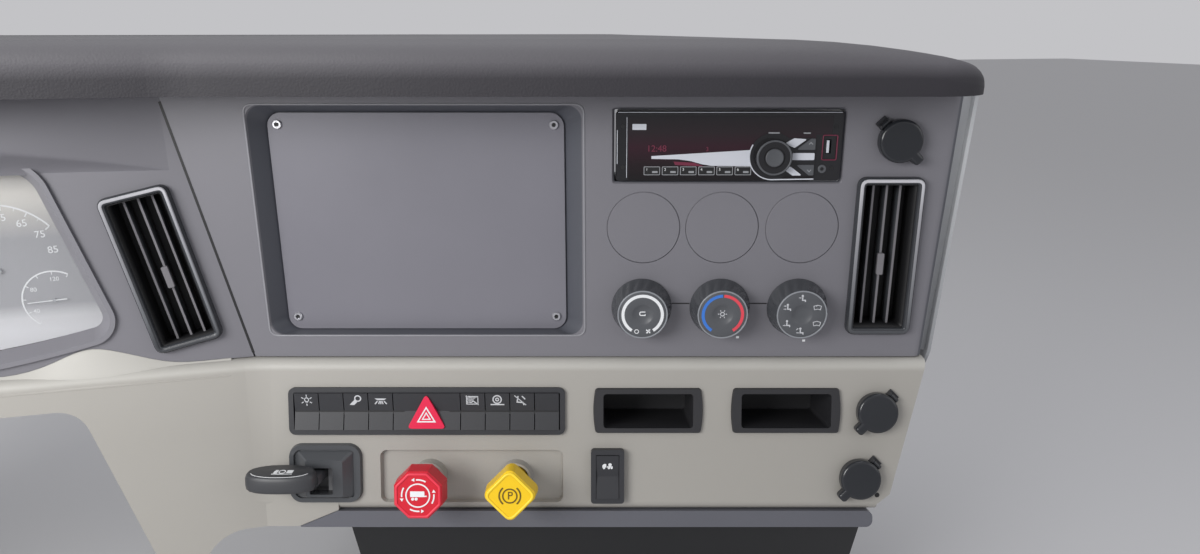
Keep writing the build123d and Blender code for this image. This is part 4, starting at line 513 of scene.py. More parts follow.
def add_numbers(name, face, items, low, high, finish, slot, body=ROOT):
    """Plain numbers, each with its place, height and angle."""
    work = bmesh.new()
    for text, x, y, size, angle in items:
        data = bpy.data.curves.new("number", "FONT")
        data.body = text
        data.size = size
        data.align_x = "CENTER"
        data.align_y = "CENTER"
        data.extrude = (high - low) / 2
        part = bmesh.new()
        curve_solid(part, data, (low + high) / 2)
        part.transform(Matrix.Translation((x, y, 0)) @ Matrix.Rotation(math.radians(angle), 4, "Z"))
        mesh = bpy.data.meshes.new("number")
        part.to_mesh(mesh)
        part.free()
        work.from_mesh(mesh)
        bpy.data.meshes.remove(mesh)
    return add_piece(name, face, work, finish, body)


def bead(width, low, high, steps=8):
    """A half-round section across a rim: how far across and how high."""
    points = [(-width / 2, low)]
    for step in range(steps + 1):
        turn = math.pi * (1 - step / steps)
        points.append((width / 2 * math.cos(turn), high - width / 4 + width / 4 * math.sin(turn)))
    return points + [(width / 2, low)]


def add_rim(name, face, paths, section, finish, slot, body=ROOT):
    """A section swept round closed paths."""
    work = bmesh.new()
    for path in paths:
        rows = []
        for index, point in enumerate(path):
            here = Vector(point)
            into = (here - Vector(path[index - 1])).normalized()
            out = (Vector(path[(index + 1) % len(path)]) - here).normalized()
            way = (into + out).normalized()
            side = Vector((way.y, -way.x)) / max(MITRE_LIMIT, way.dot(into))
            rows.append([work.verts.new((*(here + side * across), lift)) for across, lift in section])
        for index, row in enumerate(rows):
            after = rows[(index + 1) % len(rows)]
            for step in range(len(section)):
                follow = (step + 1) % len(section)
                work.faces.new((row[step], row[follow], after[follow], after[step]))
    return add_piece(name, face, work, finish, body, smooth=True)


def add_lathe(name, face, spots, profile, finish, body=ROOT, count=48):
    """A profile of radii and heights, from its foot to its top on the axis, turned at each spot."""
    work = bmesh.new()
    for x, y in spots:
        rows = []
        for radius, lift in profile:
            if radius == 0:
                rows.append([work.verts.new((x, y, lift))] * count)
            else:
                rows.append([work.verts.new((px, py, lift)) for px, py in circle(x, y, radius, count)])
        for low, high in zip(rows, rows[1:]):
            for index in range(count):
                after = (index + 1) % count
                corners = (low[index], low[after], high[after], high[index])
                work.faces.new(list(dict.fromkeys(corners)))
    return add_piece(name, face, work, finish, body, smooth=True)


def add_loft(name, face, rows, finish, body=ROOT):
    """A closed skin over rows of points, each row closed, with the first and last rows filled."""
    work = bmesh.new()
    loops = [[work.verts.new(point) for point in row] for row in rows]
    for low, high in zip(loops, loops[1:]):
        for index in range(len(low)):
            after = (index + 1) % len(low)
            work.faces.new((low[index], low[after], high[after], high[index]))
    work.faces.new(loops[0])
    work.faces.new(loops[-1])
    return add_piece(name, face, work, finish, body, smooth=True)


# Instruments: dial markings, numbers and needles, in place of the plain needles
DIAL_LIFT = -34.0
DIAL = spot(CLUSTER, 0, 0, DIAL_LIFT)
# Dials: middle across and up, and the angles where their scale starts and ends
LARGE_X = 119.0
LARGE_Y = 85.5
LARGE = ((-LARGE_X, LARGE_Y, 0.0, 140.0), (LARGE_X, LARGE_Y, 40.0, 200.0))
SMALL = (
    (-157.5, 57.0, -55.0, 120.0),
    (157.5, 57.0, 60.0, 235.0),
    (-30.0, 62.0, 20.0, 160.0),
    (30.0, 62.0, 20.0, 160.0),
)
LARGE_RING = (56.2, 57.6)
LARGE_NUMBERS = 46.0
LARGE_SIZE = 8.6
SMALL_RING = (24.9, 26.1)
SMALL_NUMBERS = 18.5
SMALL_SIZE = 5.2
NUMBER_STEP = 20
TICK_OVERLAP = 0.2


def on_dial(x, y, radius, degrees):
    turn = math.radians(degrees)
    return x + radius * math.cos(turn), y + radius * math.sin(turn)


def ticks(x, y, radius, length, width, start, end, count):
    marks = []
    for step in range(count + 1):
        turn = math.radians(start + (end - start) * step / count)
        way = Vector((math.cos(turn), math.sin(turn)))
        head = Vector((x, y)) + way * radius
        marks.append(stroke([tuple(head), tuple(head - way * length)], width))
    return marks


markings = []
numbers = []
for x, y, start, end in LARGE:
    markings.append(band(x, y, *LARGE_RING, start, end, 48))
    markings += ticks(x, y, LARGE_RING[0] + TICK_OVERLAP, 4.0, 1.0, start, end, 8)
    markings += ticks(x, y, LARGE_RING[0] + TICK_OVERLAP, 2.4, 0.5, start, end, 16)
for step in range(9):
    place = on_dial(LARGE_X, LARGE_Y, LARGE_NUMBERS, 180 - NUMBER_STEP * step)
    numbers.append((str(5 + 10 * step), *place, LARGE_SIZE, 4.0))
for step in range(8):
    place = on_dial(-LARGE_X, LARGE_Y, LARGE_NUMBERS, 140 - NUMBER_STEP * step)
    numbers.append((str(5 * step), *place, LARGE_SIZE, 0.0))
for x, y, start, end in SMALL:
    markings.append(band(x, y, *SMALL_RING, start, end, 40))
    markings += ticks(x, y, SMALL_RING[0] + TICK_OVERLAP, 2.6, 0.6, start, end, 6)
    for step, text in enumerate(("40", "80", "120")):
        place = on_dial(x, y, SMALL_NUMBERS, end - 25 - (end - start - 50) * step / 2)
        numbers.append((text, *place, SMALL_SIZE, 0.0))
add_flat("dial_markings", DIAL, markings, -0.1, 0.25, MARK_WHITE, "dial_face")
add_numbers("dial_numbers", DIAL, numbers, -0.1, 0.25, MARK_WHITE, "dial_face")

# Needles: middle, reach, angle, tail and hub radius
NEEDLES = (
    (-LARGE_X, LARGE_Y, 48.0, 212.0, 0.0, 2.4),
    (LARGE_X, LARGE_Y, 48.0, 196.0, 0.0, 2.4),
    (-157.5, 57.0, 21.0, 12.0, 10.0, 1.4),
    (157.5, 57.0, 21.0, 183.5, 10.0, 1.4),
    (-30.0, 62.0, 21.0, 160.0, 10.0, 1.4),
    (30.0, 62.0, 21.0, 150.0, 10.0, 1.4),
)
needle_groups = []
hub_groups = []
for x, y, reach, angle, tail, hub in NEEDLES:
    blade = [(-tail, -0.5), (reach, -0.3), (reach, 0.3), (-tail, 0.5)]
    needle_groups += placed([[blade]], x, y, 1.0, angle)
    hub_groups.append([circle(x, y, hub, 24)])
needles = add_flat("needle_blades", DIAL, needle_groups, 2.0, 2.8, MARK_WHITE, "needle_red")
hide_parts("gauge_needles")
add_flat("needle_hubs", DIAL, hub_groups, -0.1, 2.9, MARK_GREY, "dial_face")

# Radio: display, keys and the rim and button of its knob
RADIO = spot(STACK, 13.0, 159.7, 3.0)
# Knob housing: middle across and up, and radius
HUB = (130.5, 20.8, 19.6)
screen = [(10.4, 0.6), (165.5, 0.6), (165.5, 38.7), (178.6, 38.7), (178.6, 53.8), (10.4, 53.8)]
add_flat("radio_display", RADIO, [[screen]], -0.2, 0.3, DISPLAY, "gloss_black")
plate = box(13.7, 42.6, 25.2, 47.4, 0.6)
add_flat("radio_badge", RADIO, [[plate]], 0.2, 0.45, KEY_SILVER, "gloss_black")
wedge_end = arc(*HUB, 164.5, 205.0, 10)
WEDGE_FOOT = [(29.8, 18.7), (52.2, 18.3), (62.0, 17.0), (72.0, 14.2), (80.0, 12.9)]
WEDGE_TIP = (29.8, 21.0)
wedge = WEDGE_FOOT + wedge_end[::-1] + [WEDGE_TIP]
add_flat("radio_wedge", RADIO, [[wedge]], 0.2, 0.45, KEY_SILVER, "gloss_black")
glow = [(48.2, 16.4), (49.6, 13.6), (74.0, 12.4), (66.0, 15.4)]
add_flat("radio_glow", RADIO, [[glow]], 0.2, 0.4, GLOW_RED, "gloss_black")
digits = [("12:48", 34.0, 27.0, 7.5, 0.0), ("3", 76.0, 26.6, 5.0, 0.0)]
add_numbers("radio_digits", RADIO, digits, 0.2, 0.4, GLOW_RED, "gloss_black")
PRESET_LEFT = 23.5
PRESET_PITCH = 15.2
PRESET_SIZE = (13.6, 7.2)
PRESET_FOOT = 5.2
PRESET_EDGE = 0.5
preset_frames = []
presets = []
preset_numbers = []
for key in range(6):
    left, foot = PRESET_LEFT + PRESET_PITCH * key, PRESET_FOOT
    right, head = left + PRESET_SIZE[0], foot + PRESET_SIZE[1]
    inside = box(left + PRESET_EDGE, foot + PRESET_EDGE, right - PRESET_EDGE, head - PRESET_EDGE, 0.6)
    preset_frames.append([box(left, foot, right, head, 0.8), inside])
    presets.append([inside])
    preset_numbers.append((str(key + 1), left + 2.6, 9.8, 3.2, 0.0))
    preset_frames.append([box(left + 7.0, 7.0, left + 11.6, 8.6, 0.5)])
add_flat("radio_presets", RADIO, presets, 0.2, 1.0, MARK_DARK, "gloss_black")
add_flat("radio_preset_frames", RADIO, preset_frames, 0.6, 1.15, MARK_GREY, "gloss_black")
add_numbers("radio_preset_numbers", RADIO, preset_numbers, 0.9, 1.1, MARK_WHITE, "gloss_black")
hub_line = arc(*HUB[:2], 19.4, 150.0, 270.0, 28) + [(165.6, 1.9)]
add_flat("radio_hub_line", RADIO, [stroke(hub_line, 0.9)], 0.2, 1.3, KEY_SILVER, "gloss_black")
KEY_CORNER = 0.8
wedge_keys = [
    [rounded([(139.6, 31.4), (148.0, 28.0), (158.2, 35.2), (147.4, 35.9)], KEY_CORNER)],
    [box(146.8, 17.9, 165.0, 23.7, KEY_CORNER)],
    [rounded([(139.8, 10.4), (145.8, 12.4), (155.8, 5.0), (147.6, 5.0)], KEY_CORNER)],
]
add_flat("radio_wedge_keys", RADIO, wedge_keys, 0.9, 1.8, KEY_SILVER, "gloss_black")
upper_key = [(152.0, 28.2), (161.6, 35.6), (165.2, 35.6), (165.2, 26.4), (150.6, 26.4)]
lower_key = [(150.4, 13.8), (165.2, 13.8), (165.2, 5.0), (161.4, 5.0)]
grey_keys = [[rounded(upper_key, KEY_CORNER)], [rounded(lower_key, KEY_CORNER)]]
add_flat("radio_grey_keys", RADIO, grey_keys, 0.9, 1.6, FACE_SLATE, "gloss_black")
CHEVRON = [(-1.6, -0.8), (0.0, 0.9), (1.6, -0.8)]
chevrons = placed([stroke(CHEVRON, 0.6)], 161.4, 31.6)
chevrons += placed([stroke(CHEVRON, 0.6)], 161.4, 9.0, angle=180)
chevrons.append(band(*HUB[:2], 10.4, 11.2, 150, 215, 12))
chevrons.append([box(155.0, 39.6, 160.6, 40.6)])
chevrons.append([box(126.0, 39.8, 135.0, 40.8)])
add_flat("radio_chevrons", RADIO, chevrons, 0.2, 1.8, MARK_GREY, "gloss_black")
radio_rails = [[box(1.0, 14.4, 1.5, 42.4)], [box(9.0, 3.0, 9.4, 53.0)], [box(2.0, 56.7, 186.0, 57.1)]]
add_flat("radio_edges", RADIO, radio_rails, -0.1, 0.35, KEY_SILVER, "gloss_black")
usb_mouth = box(171.6, 17.8, 183.6, 38.2, 1.2)
add_rim("usb_frame", RADIO, [usb_mouth], bead(0.8, -0.8, 0.5), GLOW_RED, "gloss_black")
add_flat("usb_tongue", RADIO, [[box(175.3, 23.6, 177.2, 33.8)]], -6.5, -0.8, KEY_SILVER, "gloss_black")
AUX_SPOT = (172.3, 10.3)
AUX_PROFILE = [(0, 0.0), (3.4, 0.0), (3.4, 0.8), (2.9, 1.1), (1.6, 0.9), (1.4, 0.1), (0, 0.1)]
add_lathe("aux_socket", RADIO, [AUX_SPOT], AUX_PROFILE, FACE_SLATE)
hole_spots = [(5.9, 45.4), (5.9, 11.6), (181.8, 45.0), (180.5, 11.0), AUX_SPOT]
holes = [[circle(x, y, 1.7, 24)] for x, y in hole_spots]
add_flat("radio_holes", RADIO, holes, 0.0, 0.45, MARK_DARK, "gloss_black")
knob_face = spot(RADIO, HUB[0], HUB[1], 9.0)
knob_edge = circle(0, 0, 13.8, 56)
BUTTON_PROFILE = [(0, -1.2), (7.4, -1.2), (7.4, 0.5), (6.8, 1.0), (4.5, 0.6), (0, 0.2)]
add_rim("radio_knob_rim", knob_face, [knob_edge], bead(1.6, -1.2, 0.3), FACE_SLATE, "knob_black")
add_lathe("radio_knob_button", knob_face, [(0, 0)], BUTTON_PROFILE, FACE_SLATE)

# Cover plate screws
COVER_LIFT = -13.5
COVER = spot(STACK, 0, 0, COVER_LIFT)
screws = [(-272.1, 205.0), (-38.9, 204.6), (-272.1, 33.8), (-39.3, 33.8)]
SCREW_PROFILE = [(0, -0.1), (4.0, -0.1), (4.0, 1.2), (3.4, 1.8), (2.0, 1.8), (1.9, 0.6), (0, 0.6)]
add_lathe("cover_screw_heads", COVER, screws, SCREW_PROFILE, SCREW_METAL)
screw_sockets = [[circle(x, y, 1.85, 6)] for x, y in screws]
add_flat("cover_screw_sockets", COVER, screw_sockets, 0.5, 0.9, MARK_DARK, "zinc_steel")

# Climate knobs: faceted grips in place of the plain ones, with discs, rims, arcs and icons
PERSON = [
    band(-0.9, 2.1, 0.0, 0.9, 0, 360, 14),
    stroke([(-0.8, 1.1), (-0.9, -1.4), (1.3, -1.4), (1.5, -2.8)], 0.9),
]
ARROW = [stroke([(0, 0), (2.0, 0)], 0.6), [[(1.6, -0.8), (2.9, 0.0), (1.6, 0.8)]]]
FAN_BLADE = [[[(0, 0), (0.4, 1.9), (2.0, 1.6), (0.9, 0.3)]]]
SCREEN_LINE = [(-2.4, -1.8), (-2.9, 1.2), (0.0, 2.0), (2.9, 1.2), (2.4, -1.8)]
DEFROST = [stroke(SCREEN_LINE + [(0.0, -1.2), (-2.2, -1.8)], 0.5)]


def seated(scale, arrows):
    parts = placed(PERSON, 0.8, 0, scale)
    for x, y, angle in arrows:
        parts += placed(ARROW, x, y, scale * 0.8, angle)
    return parts


KNOB_SPOTS = ((36.6, 47.0), (105.4, 47.0), (173.4, 47.0))
KNOB_FACE = 20.5
KNOB_FACETS = 18
KNOB_STEPS = 180
KNOB_RIM = 21.0
# Grip rows: radius, lift, depth of the facets and their twist in degrees
KNOB_ROWS = (
    (26.3, 0.3, 0.0, 0.0),
    (26.5, 1.2, 0.0, 0.0),
    (26.2, 2.6, 0.1, 0.0),
    (25.6, 4.4, 1.3, 2.0),
    (24.9, 8.5, 1.9, 6.0),
    (24.0, 13.0, 1.9, 10.0),
    (23.0, 17.5, 1.4, 14.0),
    (21.9, 19.6, 0.2, 12.5),
    (21.3, 20.4, 0.0, 13.0),
    (20.5, 20.4, 0.0, 13.0),
    (20.4, 18.2, 0.0, 13.0),
)
KNOB_DISC = (
    (0, -2.2),
    (20.3, -2.2),
    (20.3, 0.1),
    (19.8, 0.35),
    (9.4, 0.35),
    (8.6, 0.0),
    (6.8, -1.1),
    (3.6, -1.75),
    (0, -1.9),
)
ARC_RADII = (15.6, 18.2)
LEFT_ARC = (92.0, 237.0)
RIGHT_ARC = (-57.0, 88.0)


def knob_row(radius, lift, depth, twist):
    row = []
    for step in range(KNOB_STEPS):
        turn = 2 * math.pi * step / KNOB_STEPS
        wave = abs(math.sin(KNOB_FACETS / 2 * (turn - math.radians(twist))))
        reach = radius - depth + depth * wave
        row.append((reach * math.cos(turn), reach * math.sin(turn), lift))
    return row


fan_icon = [ring(-5.0, -15.2, 1.4, 2.0)] + repeated(FAN_BLADE, 5.0, -15.0, 4)
LOOP_LINE = [(2.4, 3.9), (-1.6, 3.9), (-2.4, 3.0), (-2.4, 1.6), (-1.6, 0.8), (2.2, 0.8), (2.4, 1.8)]
loop_icon = [stroke([(x, y - 2.0) for x, y in LOOP_LINE], 0.8)]
SUN_RAY = [stroke([(2.7, 0.0), (3.9, 0.0)], 0.7)]
sun_icon = [ring(0, 0, 1.3, 2.0)] + repeated(SUN_RAY, 0, 0, 6)
mode_icons = placed(seated(1.1, [(-3.4, 0.6, 0)]), -0.4, 14.8)
mode_icons += placed(seated(1.1, [(-3.6, 1.2, 0), (-3.6, -1.6, 0)]), -12.6, 6.8)
mode_icons += placed(seated(1.1, [(-3.4, -1.6, 0)]), -12.4, -8.0)
mode_icons += placed(seated(1.1, [(-3.8, 1.0, 40), (-3.6, -1.6, 0)]), -0.4, -14.8)
mode_icons += placed(DEFROST, 13.2, -8.0, 1.1)
mode_icons += placed(DEFROST, 12.8, 6.6, 1.1)
mode_icons += placed([ARROW[1]], 12.0, 6.6, 0.6, 90)
for number, (knob_s, knob_h) in enumerate(KNOB_SPOTS, start=1):
    body = f"climate_knob_{number}"
    base = spot(STACK, knob_s, knob_h)
    face = spot(STACK, knob_s, knob_h, KNOB_FACE)
    grip_rows = [knob_row(*row) for row in KNOB_ROWS]
    grip = add_loft(f"knob_grip_{number}", base, grip_rows, KNOB_GLOSS, body)
    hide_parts(body)
    add_lathe(f"knob_disc_{number}", face, [(0, 0)], KNOB_DISC, FACE_SLATE, body)
    rim = [circle(0, 0, KNOB_RIM, 72)]
    add_rim(f"knob_rim_{number}", face, rim, bead(1.3, -0.4, 0.75), RIM_SATIN, "knob_black", body)
    if number == 1:
        groups = [band(0, 0, *ARC_RADII, -57.0, 237.0, 64)] + fan_icon
        add_flat("knob_marks_1", face, groups, 0.2, 0.55, MARK_WHITE, "knob_black", body)
        add_flat("knob_icon_1", face, loop_icon, -2.0, -1.5, MARK_WHITE, "knob_black", body)
    elif number == 2:
        cool = [band(0, 0, *ARC_RADII, *LEFT_ARC, 40)]
        warm = [band(0, 0, *ARC_RADII, *RIGHT_ARC, 40)]
        add_flat("knob_cool_arc", face, cool, 0.2, 0.55, ARC_BLUE, "knob_black", body)
        add_flat("knob_warm_arc", face, warm, 0.2, 0.55, ARC_RED, "knob_black", body)
        add_flat("knob_icon_2", face, sun_icon, -2.0, -1.4, MARK_LIGHT, "knob_black", body)
    else:
        add_flat("knob_marks_3", face, mode_icons, 0.2, 0.55, MARK_LIGHT, "knob_black", body)
INDEX_SPOTS = ((122.6, 18.7), (181.9, 15.5))
index_dots = [[box(s - 1.3, h - 1.0, s + 1.3, h + 1.0, 0.3)] for s, h in INDEX_SPOTS]
add_flat("knob_index_dots", STACK, index_dots, -0.1, 0.25, MARK_WHITE, "panel_dark")
# The lines between the knobs stop this far from a knob's middle
LINE_CLEAR = 26.6
joining = []
for before, after in zip(KNOB_SPOTS, KNOB_SPOTS[1:]):
    joining.append([box(before[0] + LINE_CLEAR, 49.9, after[0] - LINE_CLEAR, 50.9)])
add_flat("knob_joining_lines", STACK, joining, -0.1, 0.15, MARK_DARK, "panel_dark")

# Vents: rounded frames, a dark sleeve, vanes and a slider, in place of the plain ones
VENT_FROM_MIDDLE = 254.75
VENT_UP = 84.5
VENT_LEAN = 12.5
VENTS = {
    "outer": spot(WING, CLUSTER_X - VENT_FROM_MIDDLE, VENT_UP, 0, -VENT_LEAN),
    "inner": spot(WING, CLUSTER_X + VENT_FROM_MIDDLE, VENT_UP, 0, VENT_LEAN),
    "stack": spot(STACK, 245.4, 92.8),
}
FRAME_MIDDLE = box(-25.3, -67.1, 25.3, 67.1, 5.0)
# Frame section: across, outwards positive, and lift
FRAME_SECTION = (
    (-3.1, -2.0),
    (-3.1, 4.2),
    (-2.5, 5.6),
    (-1.4, 6.4),
    (1.4, 6.4),
    (2.6, 5.2),
    (3.1, 3.4),
    (3.1, -0.5),
)
SLEEVE_EDGES = (-22.4, -64.2, 22.4, 64.2)
SLEEVE = [box(*SLEEVE_EDGES, 2.6), box(-21.4, -63.2, 21.4, 63.2, 2.0)]
FACE_SECTION = ((-1.2, 5.6), (-1.0, 6.8), (-0.2, 7.1), (1.0, 7.0), (1.6, 6.4), (1.8, 5.4))
VANE_HALF = 0.9
VANE_FRONT = -8.0
VANE_PLACES = (-11.5, 0.0, 11.5)
for name, face in VENTS.items():
    rim = add_rim(f"{name}_vent_rim", face, [FRAME_MIDDLE], FRAME_SECTION, VENT_RIM, "vent_satin")
    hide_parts(f"{name}_vent_frame")
    # The faces carry the painted reflection, lighter towards the top
    add_rim(f"{name}_vent_face", face, [FRAME_MIDDLE], FACE_SECTION, VENT_FACE, "vent_satin")
    back = [[box(*SLEEVE_EDGES)]]
    add_flat(f"{name}_vent_back", face, back, -25.0, -24.0, MARK_DARK, "vent_satin")
    add_flat(f"{name}_vent_sleeve", face, [SLEEVE], -24.0, 3.0, MARK_DARK, "vent_satin")
    vanes = [[box(x - VANE_HALF, -63.6, x + VANE_HALF, 63.6)] for x in VANE_PLACES]
    edges = [[box(x - VANE_HALF, -63.3, x + VANE_HALF, 63.3, 0.4)] for x in VANE_PLACES]
    blade_lifts = (-23.0, VANE_FRONT - 0.8)
    # The blades carry the painted shade of the vanes' sides
    blades = add_flat(f"{name}_vent_blades", face, vanes, *blade_lifts, VANE_SHADE_GREY, "vent_satin")
    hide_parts(f"{name}_vent_vanes")
    add_flat(f"{name}_vane_edges", face, edges, VANE_FRONT - 1.0, VANE_FRONT, RIM_EDGE, "vent_satin")
    slider = [[box(-2.6, -17.5, 2.6, 1.5, 0.9)]]
    slider_lifts = (VANE_FRONT - 2.0, VANE_FRONT + 3.0)
    add_flat(f"{name}_vent_slider", face, slider, *slider_lifts, RIM_EDGE, "vent_satin")

# Brow: a soft hood over the instruments, in place of the plain one
BROW_HALF = 278.6
BROW_END_V = 167.4
BROW_RISE = 31.0
BROW_FOOT_RISE = 2.8
BROW_REACH = 35.5
BROW_TOP = 230.5
BROW_STEPS = 96
BROW_SINK = 0.5
BROW_BACK = -1.5
BROW_ENDS = 0.997
# Shares of the way down from the top to the edge, and of the reach there
BROW_FRONT = ((0.0, 0.72), (0.3, 0.84), (0.6, 0.93), (0.85, 0.985), (0.96, 1.0), (1.0, 0.98))
BROW_UNDER = ((0.12, 0.86), (0.35, 0.55), (0.65, 0.22), (0.88, 0.05), (1.0, 0.0))


def brow_row(x):
    full = 1 - (x / BROW_HALF) ** 2
    edge = BROW_END_V + BROW_RISE * full
    foot = BROW_END_V + BROW_FOOT_RISE * full
    reach = BROW_REACH * full**1.5
    face = edge - BROW_TOP
    row = [(x, BROW_TOP, BROW_BACK)]
    row += [(x, BROW_TOP + face * down, reach * out - BROW_SINK) for down, out in BROW_FRONT]
    row += [(x, edge + (foot - edge) * down, reach * out - BROW_SINK) for down, out in BROW_UNDER]
    return row + [(x, foot, BROW_BACK)]


brow_ends = BROW_HALF * BROW_ENDS
brow_rows = [brow_row(brow_ends * (2 * step / BROW_STEPS - 1)) for step in range(BROW_STEPS + 1)]
brow = add_loft("brow_hood", CLUSTER, brow_rows, MATERIALS["panel_dark"])
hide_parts("cluster_brow")

# Beads and lines of the stack: round the bay's mouth and along the crease
bay_mouth = box(-293.6, 20.1, -13.4, 222.8, 8.0)
add_rim("bay_bead", STACK, [bay_mouth], bead(1.6, -0.4, 0.7), EDGE_GREY, "panel_dark")
CREASE_LINE = [(-310.9, 4.0), (-361.4, 225.0)]
add_flat("crease_line", STACK, [stroke(CREASE_LINE, 2.2)], -0.8, 0.3, MARK_DARK, "panel_dark")

# Switch icons on the upper keys, and the hazard triangle
KEY_PITCH = 9.9
SWITCH_MIDDLE = (-154.3, -35.6)
ICON_UP = 9.8
ICON_LIFT = 3.36
RAY_TURNS = (0.52, 1.57, 2.62, 3.67, 4.71, 5.76)


def ray(turn):
    cos, sin = math.cos(turn), math.sin(turn)
    return stroke([(2.6 * cos, 2.6 * sin), (4.4 * cos, 4.4 * sin)], 0.6)


RAYS = [ray(turn) for turn in RAY_TURNS]
LAMP = RAYS + [ring(0, 0.4, 1.2, 1.8), stroke([(-0.9, -1.4), (0.9, -1.4)], 0.7)]
SPOTLIGHT = [ring(1.6, 1.4, 1.7, 2.6), [[(-4.8, -3.6), (-1.4, -3.8), (1.0, -1.6), (-0.9, 0.4)]]]
DOME = [[[(-4.4, 1.4), (4.4, 1.4), (2.4, 0.1), (-2.4, 0.1)]]]
DOME += [stroke([(x * 0.55, -0.7), (x, -3.0)], 0.8) for x in (-4.4, -1.6, 1.6, 4.4, 0)]
CROSSED = [
    ring(-1.2, 0, 1.3, 2.1),
    stroke([(-4.2, 3.0), (-4.2, -3.0), (4.2, -3.0), (4.2, 3.0), (-4.0, 3.0)], 0.6),
    stroke([(-4.6, 3.6), (4.6, -3.6)], 0.8),
]
TRACTION = [ring(0, 0.6, 2.6, 3.5), ring(0, 0.6, 0.7, 1.5), stroke([(-5.0, -3.4), (5.2, -3.4)], 0.9)]
SEAT_OFF = [
    stroke([(-1.6, 3.4), (-2.4, -1.4), (2.0, -1.8), (2.6, -3.8)], 0.9),
    stroke([(-4.4, 3.8), (4.2, -3.8)], 0.6),
    stroke([(1.2, 3.4), (3.6, 0.8)], 0.8),
]
icon_spots = (
    (-106.5, LAMP),
    (-62.9, SPOTLIGHT),
    (-40.7, DOME),
    (40.7, CROSSED),
    (62.9, TRACTION),
    (83.5, SEAT_OFF),
)
switch_face = spot(LOWER, *SWITCH_MIDDLE)
upper_keys = spot(LOWER, SWITCH_MIDDLE[0], SWITCH_MIDDLE[1] + ICON_UP, ICON_LIFT, 0, KEY_PITCH)
icons = []
for x, icon in icon_spots:
    icons += placed(icon, x, 0.4, 1.2)
add_flat("switch_icons", upper_keys, icons, -0.15, 0.2, MARK_LIGHT, "switch_black")
groove = [[box(-117.0, -2.8, -20.0, 0.4)], [box(20.0, -2.8, 117.0, 0.4)]]
add_flat("switch_groove", switch_face, groove, 0.6, 1.75, MARK_DARK, "switch_black")
triangle = rounded([(-17.3, -15.2), (17.3, -15.2), (0.0, 16.4)], 2.6)
hazard = add_flat("hazard_triangle", switch_face, [[triangle]], 0.8, 5.3, HAZARD_RED, "knob_red")
bevel = hazard.modifiers.new("edge", "BEVEL")
bevel.width = 0.8 * MM
bevel.segments = 3
bevel.limit_method = "ANGLE"
hazard_mark = [
    [[(-8.6, -9.4), (8.6, -9.4), (0.0, 5.0)], [(-6.6, -8.2), (6.6, -8.2), (0.0, 2.8)]],
    [[(-4.2, -7.0), (4.2, -7.0), (0.0, 0.0)], [(-2.6, -6.1), (2.6, -6.1), (0.0, -1.8)]],
]
add_flat("hazard_mark", switch_face, hazard_mark, 5.2, 5.5, MARK_WHITE, "knob_red")

# Rocker switch icon
rocker_face = spot(LOWER, 6.75, -84.3, 6.85, 0, 10.0)
TRUCK = [
    [[(-4.6, -1.2), (-4.6, 0.6), (-3.2, 2.2), (-1.2, 2.2), (-1.2, -1.2)]],
    [box(-0.6, -1.2, 4.6, -0.2)],
    [circle(2.2, 1.4, 1.5, 18)],
]
TRUCK += [[circle(x, -1.8, 1.0, 14)] for x in (-3.2, 1.2, 3.6)]
add_flat("rocker_icon", rocker_face, TRUCK, -0.15, 0.25, MARK_WHITE, "switch_black")

# Lever: a rounded paddle on a neck, in place of the plain one
LEVER = spot(LOWER, -252.0, -94.6)
PADDLE_MIDDLE = (-23.5, 29.5)
PADDLE_HALF = (30.5, 12.5)
PADDLE_POWER = 2.25
PADDLE_STEPS = 64
PADDLE_FRONT = PADDLE_MIDDLE[1] + PADDLE_HALF[1]
PADDLE_TOP = 10.4
TOP_SLOPE = math.radians(11.3)
# Paddle rows: height across the face, and how full the outline is there
PADDLE_ROWS = (
    (-3.8, 0.84),
    (-3.0, 0.92),
    (-1.4, 0.975),
    (1.6, 1.0),
    (6.8, 1.0),
    (9.0, 0.97),
    (10.1, 0.93),
    (10.4, 0.88),
)


def paddle_point(step, full):
    """A point of a rounded box outline: where it is across, and its lift."""
    turn = 2 * math.pi * step / PADDLE_STEPS
    across = abs(math.cos(turn)) ** (2 / PADDLE_POWER) * math.copysign(full, math.cos(turn))
    forward = abs(math.sin(turn)) ** (2 / PADDLE_POWER) * math.copysign(full, math.sin(turn))
    return PADDLE_MIDDLE[0] + PADDLE_HALF[0] * across, PADDLE_MIDDLE[1] + PADDLE_HALF[1] * forward


def paddle_row(height, full):
    """One row; the upper ones rise towards the back, with the sloping top."""
    slope = math.tan(TOP_SLOPE) * max(0.0, height / PADDLE_TOP)
    points = [paddle_point(step, full) for step in range(PADDLE_STEPS)]
    return [(x, height + slope * (PADDLE_FRONT - lift), lift) for x, lift in points]


paddle_rows = [paddle_row(*row) for row in PADDLE_ROWS]
paddle = add_loft("lever_paddle", LEVER, paddle_rows, LEVER_BLACK, "hand_lever")
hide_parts("hand_lever")
neck = [[box(-8.0, -3.0, 6.5, 7.0, 3.0)]]
add_flat("lever_neck", LEVER, neck, -8.0, 24.0, LEVER_BLACK, "knob_black", "hand_lever")
paddle_top = spot(LEVER, 0, PADDLE_TOP, PADDLE_FRONT, 0, math.degrees(TOP_SLOPE) - 90)
LINE_SHARE = 0.84
line_points = [paddle_point(step, LINE_SHARE) for step in range(3, 30)]
line = [stroke([(x, PADDLE_FRONT - lift) for x, lift in line_points], 0.6)]
add_flat("lever_line", paddle_top, line, -0.3, 0.2, MARK_WHITE, "knob_black", "hand_lever")
trailer = [ring(0, 0, 2.0, 2.8), [[(-6.4, -2.6), (-3.4, -2.6), (-3.4, 2.6), (-5.4, 2.6), (-6.4, 0.4)]]]
trailer += [[box(3.6, -1.8, 8.4, 2.4)], stroke([(-7.4, -3.6), (8.8, -3.6)], 0.7)]
lever_sign = placed(trailer, -22.0, 12.0, 1.1)
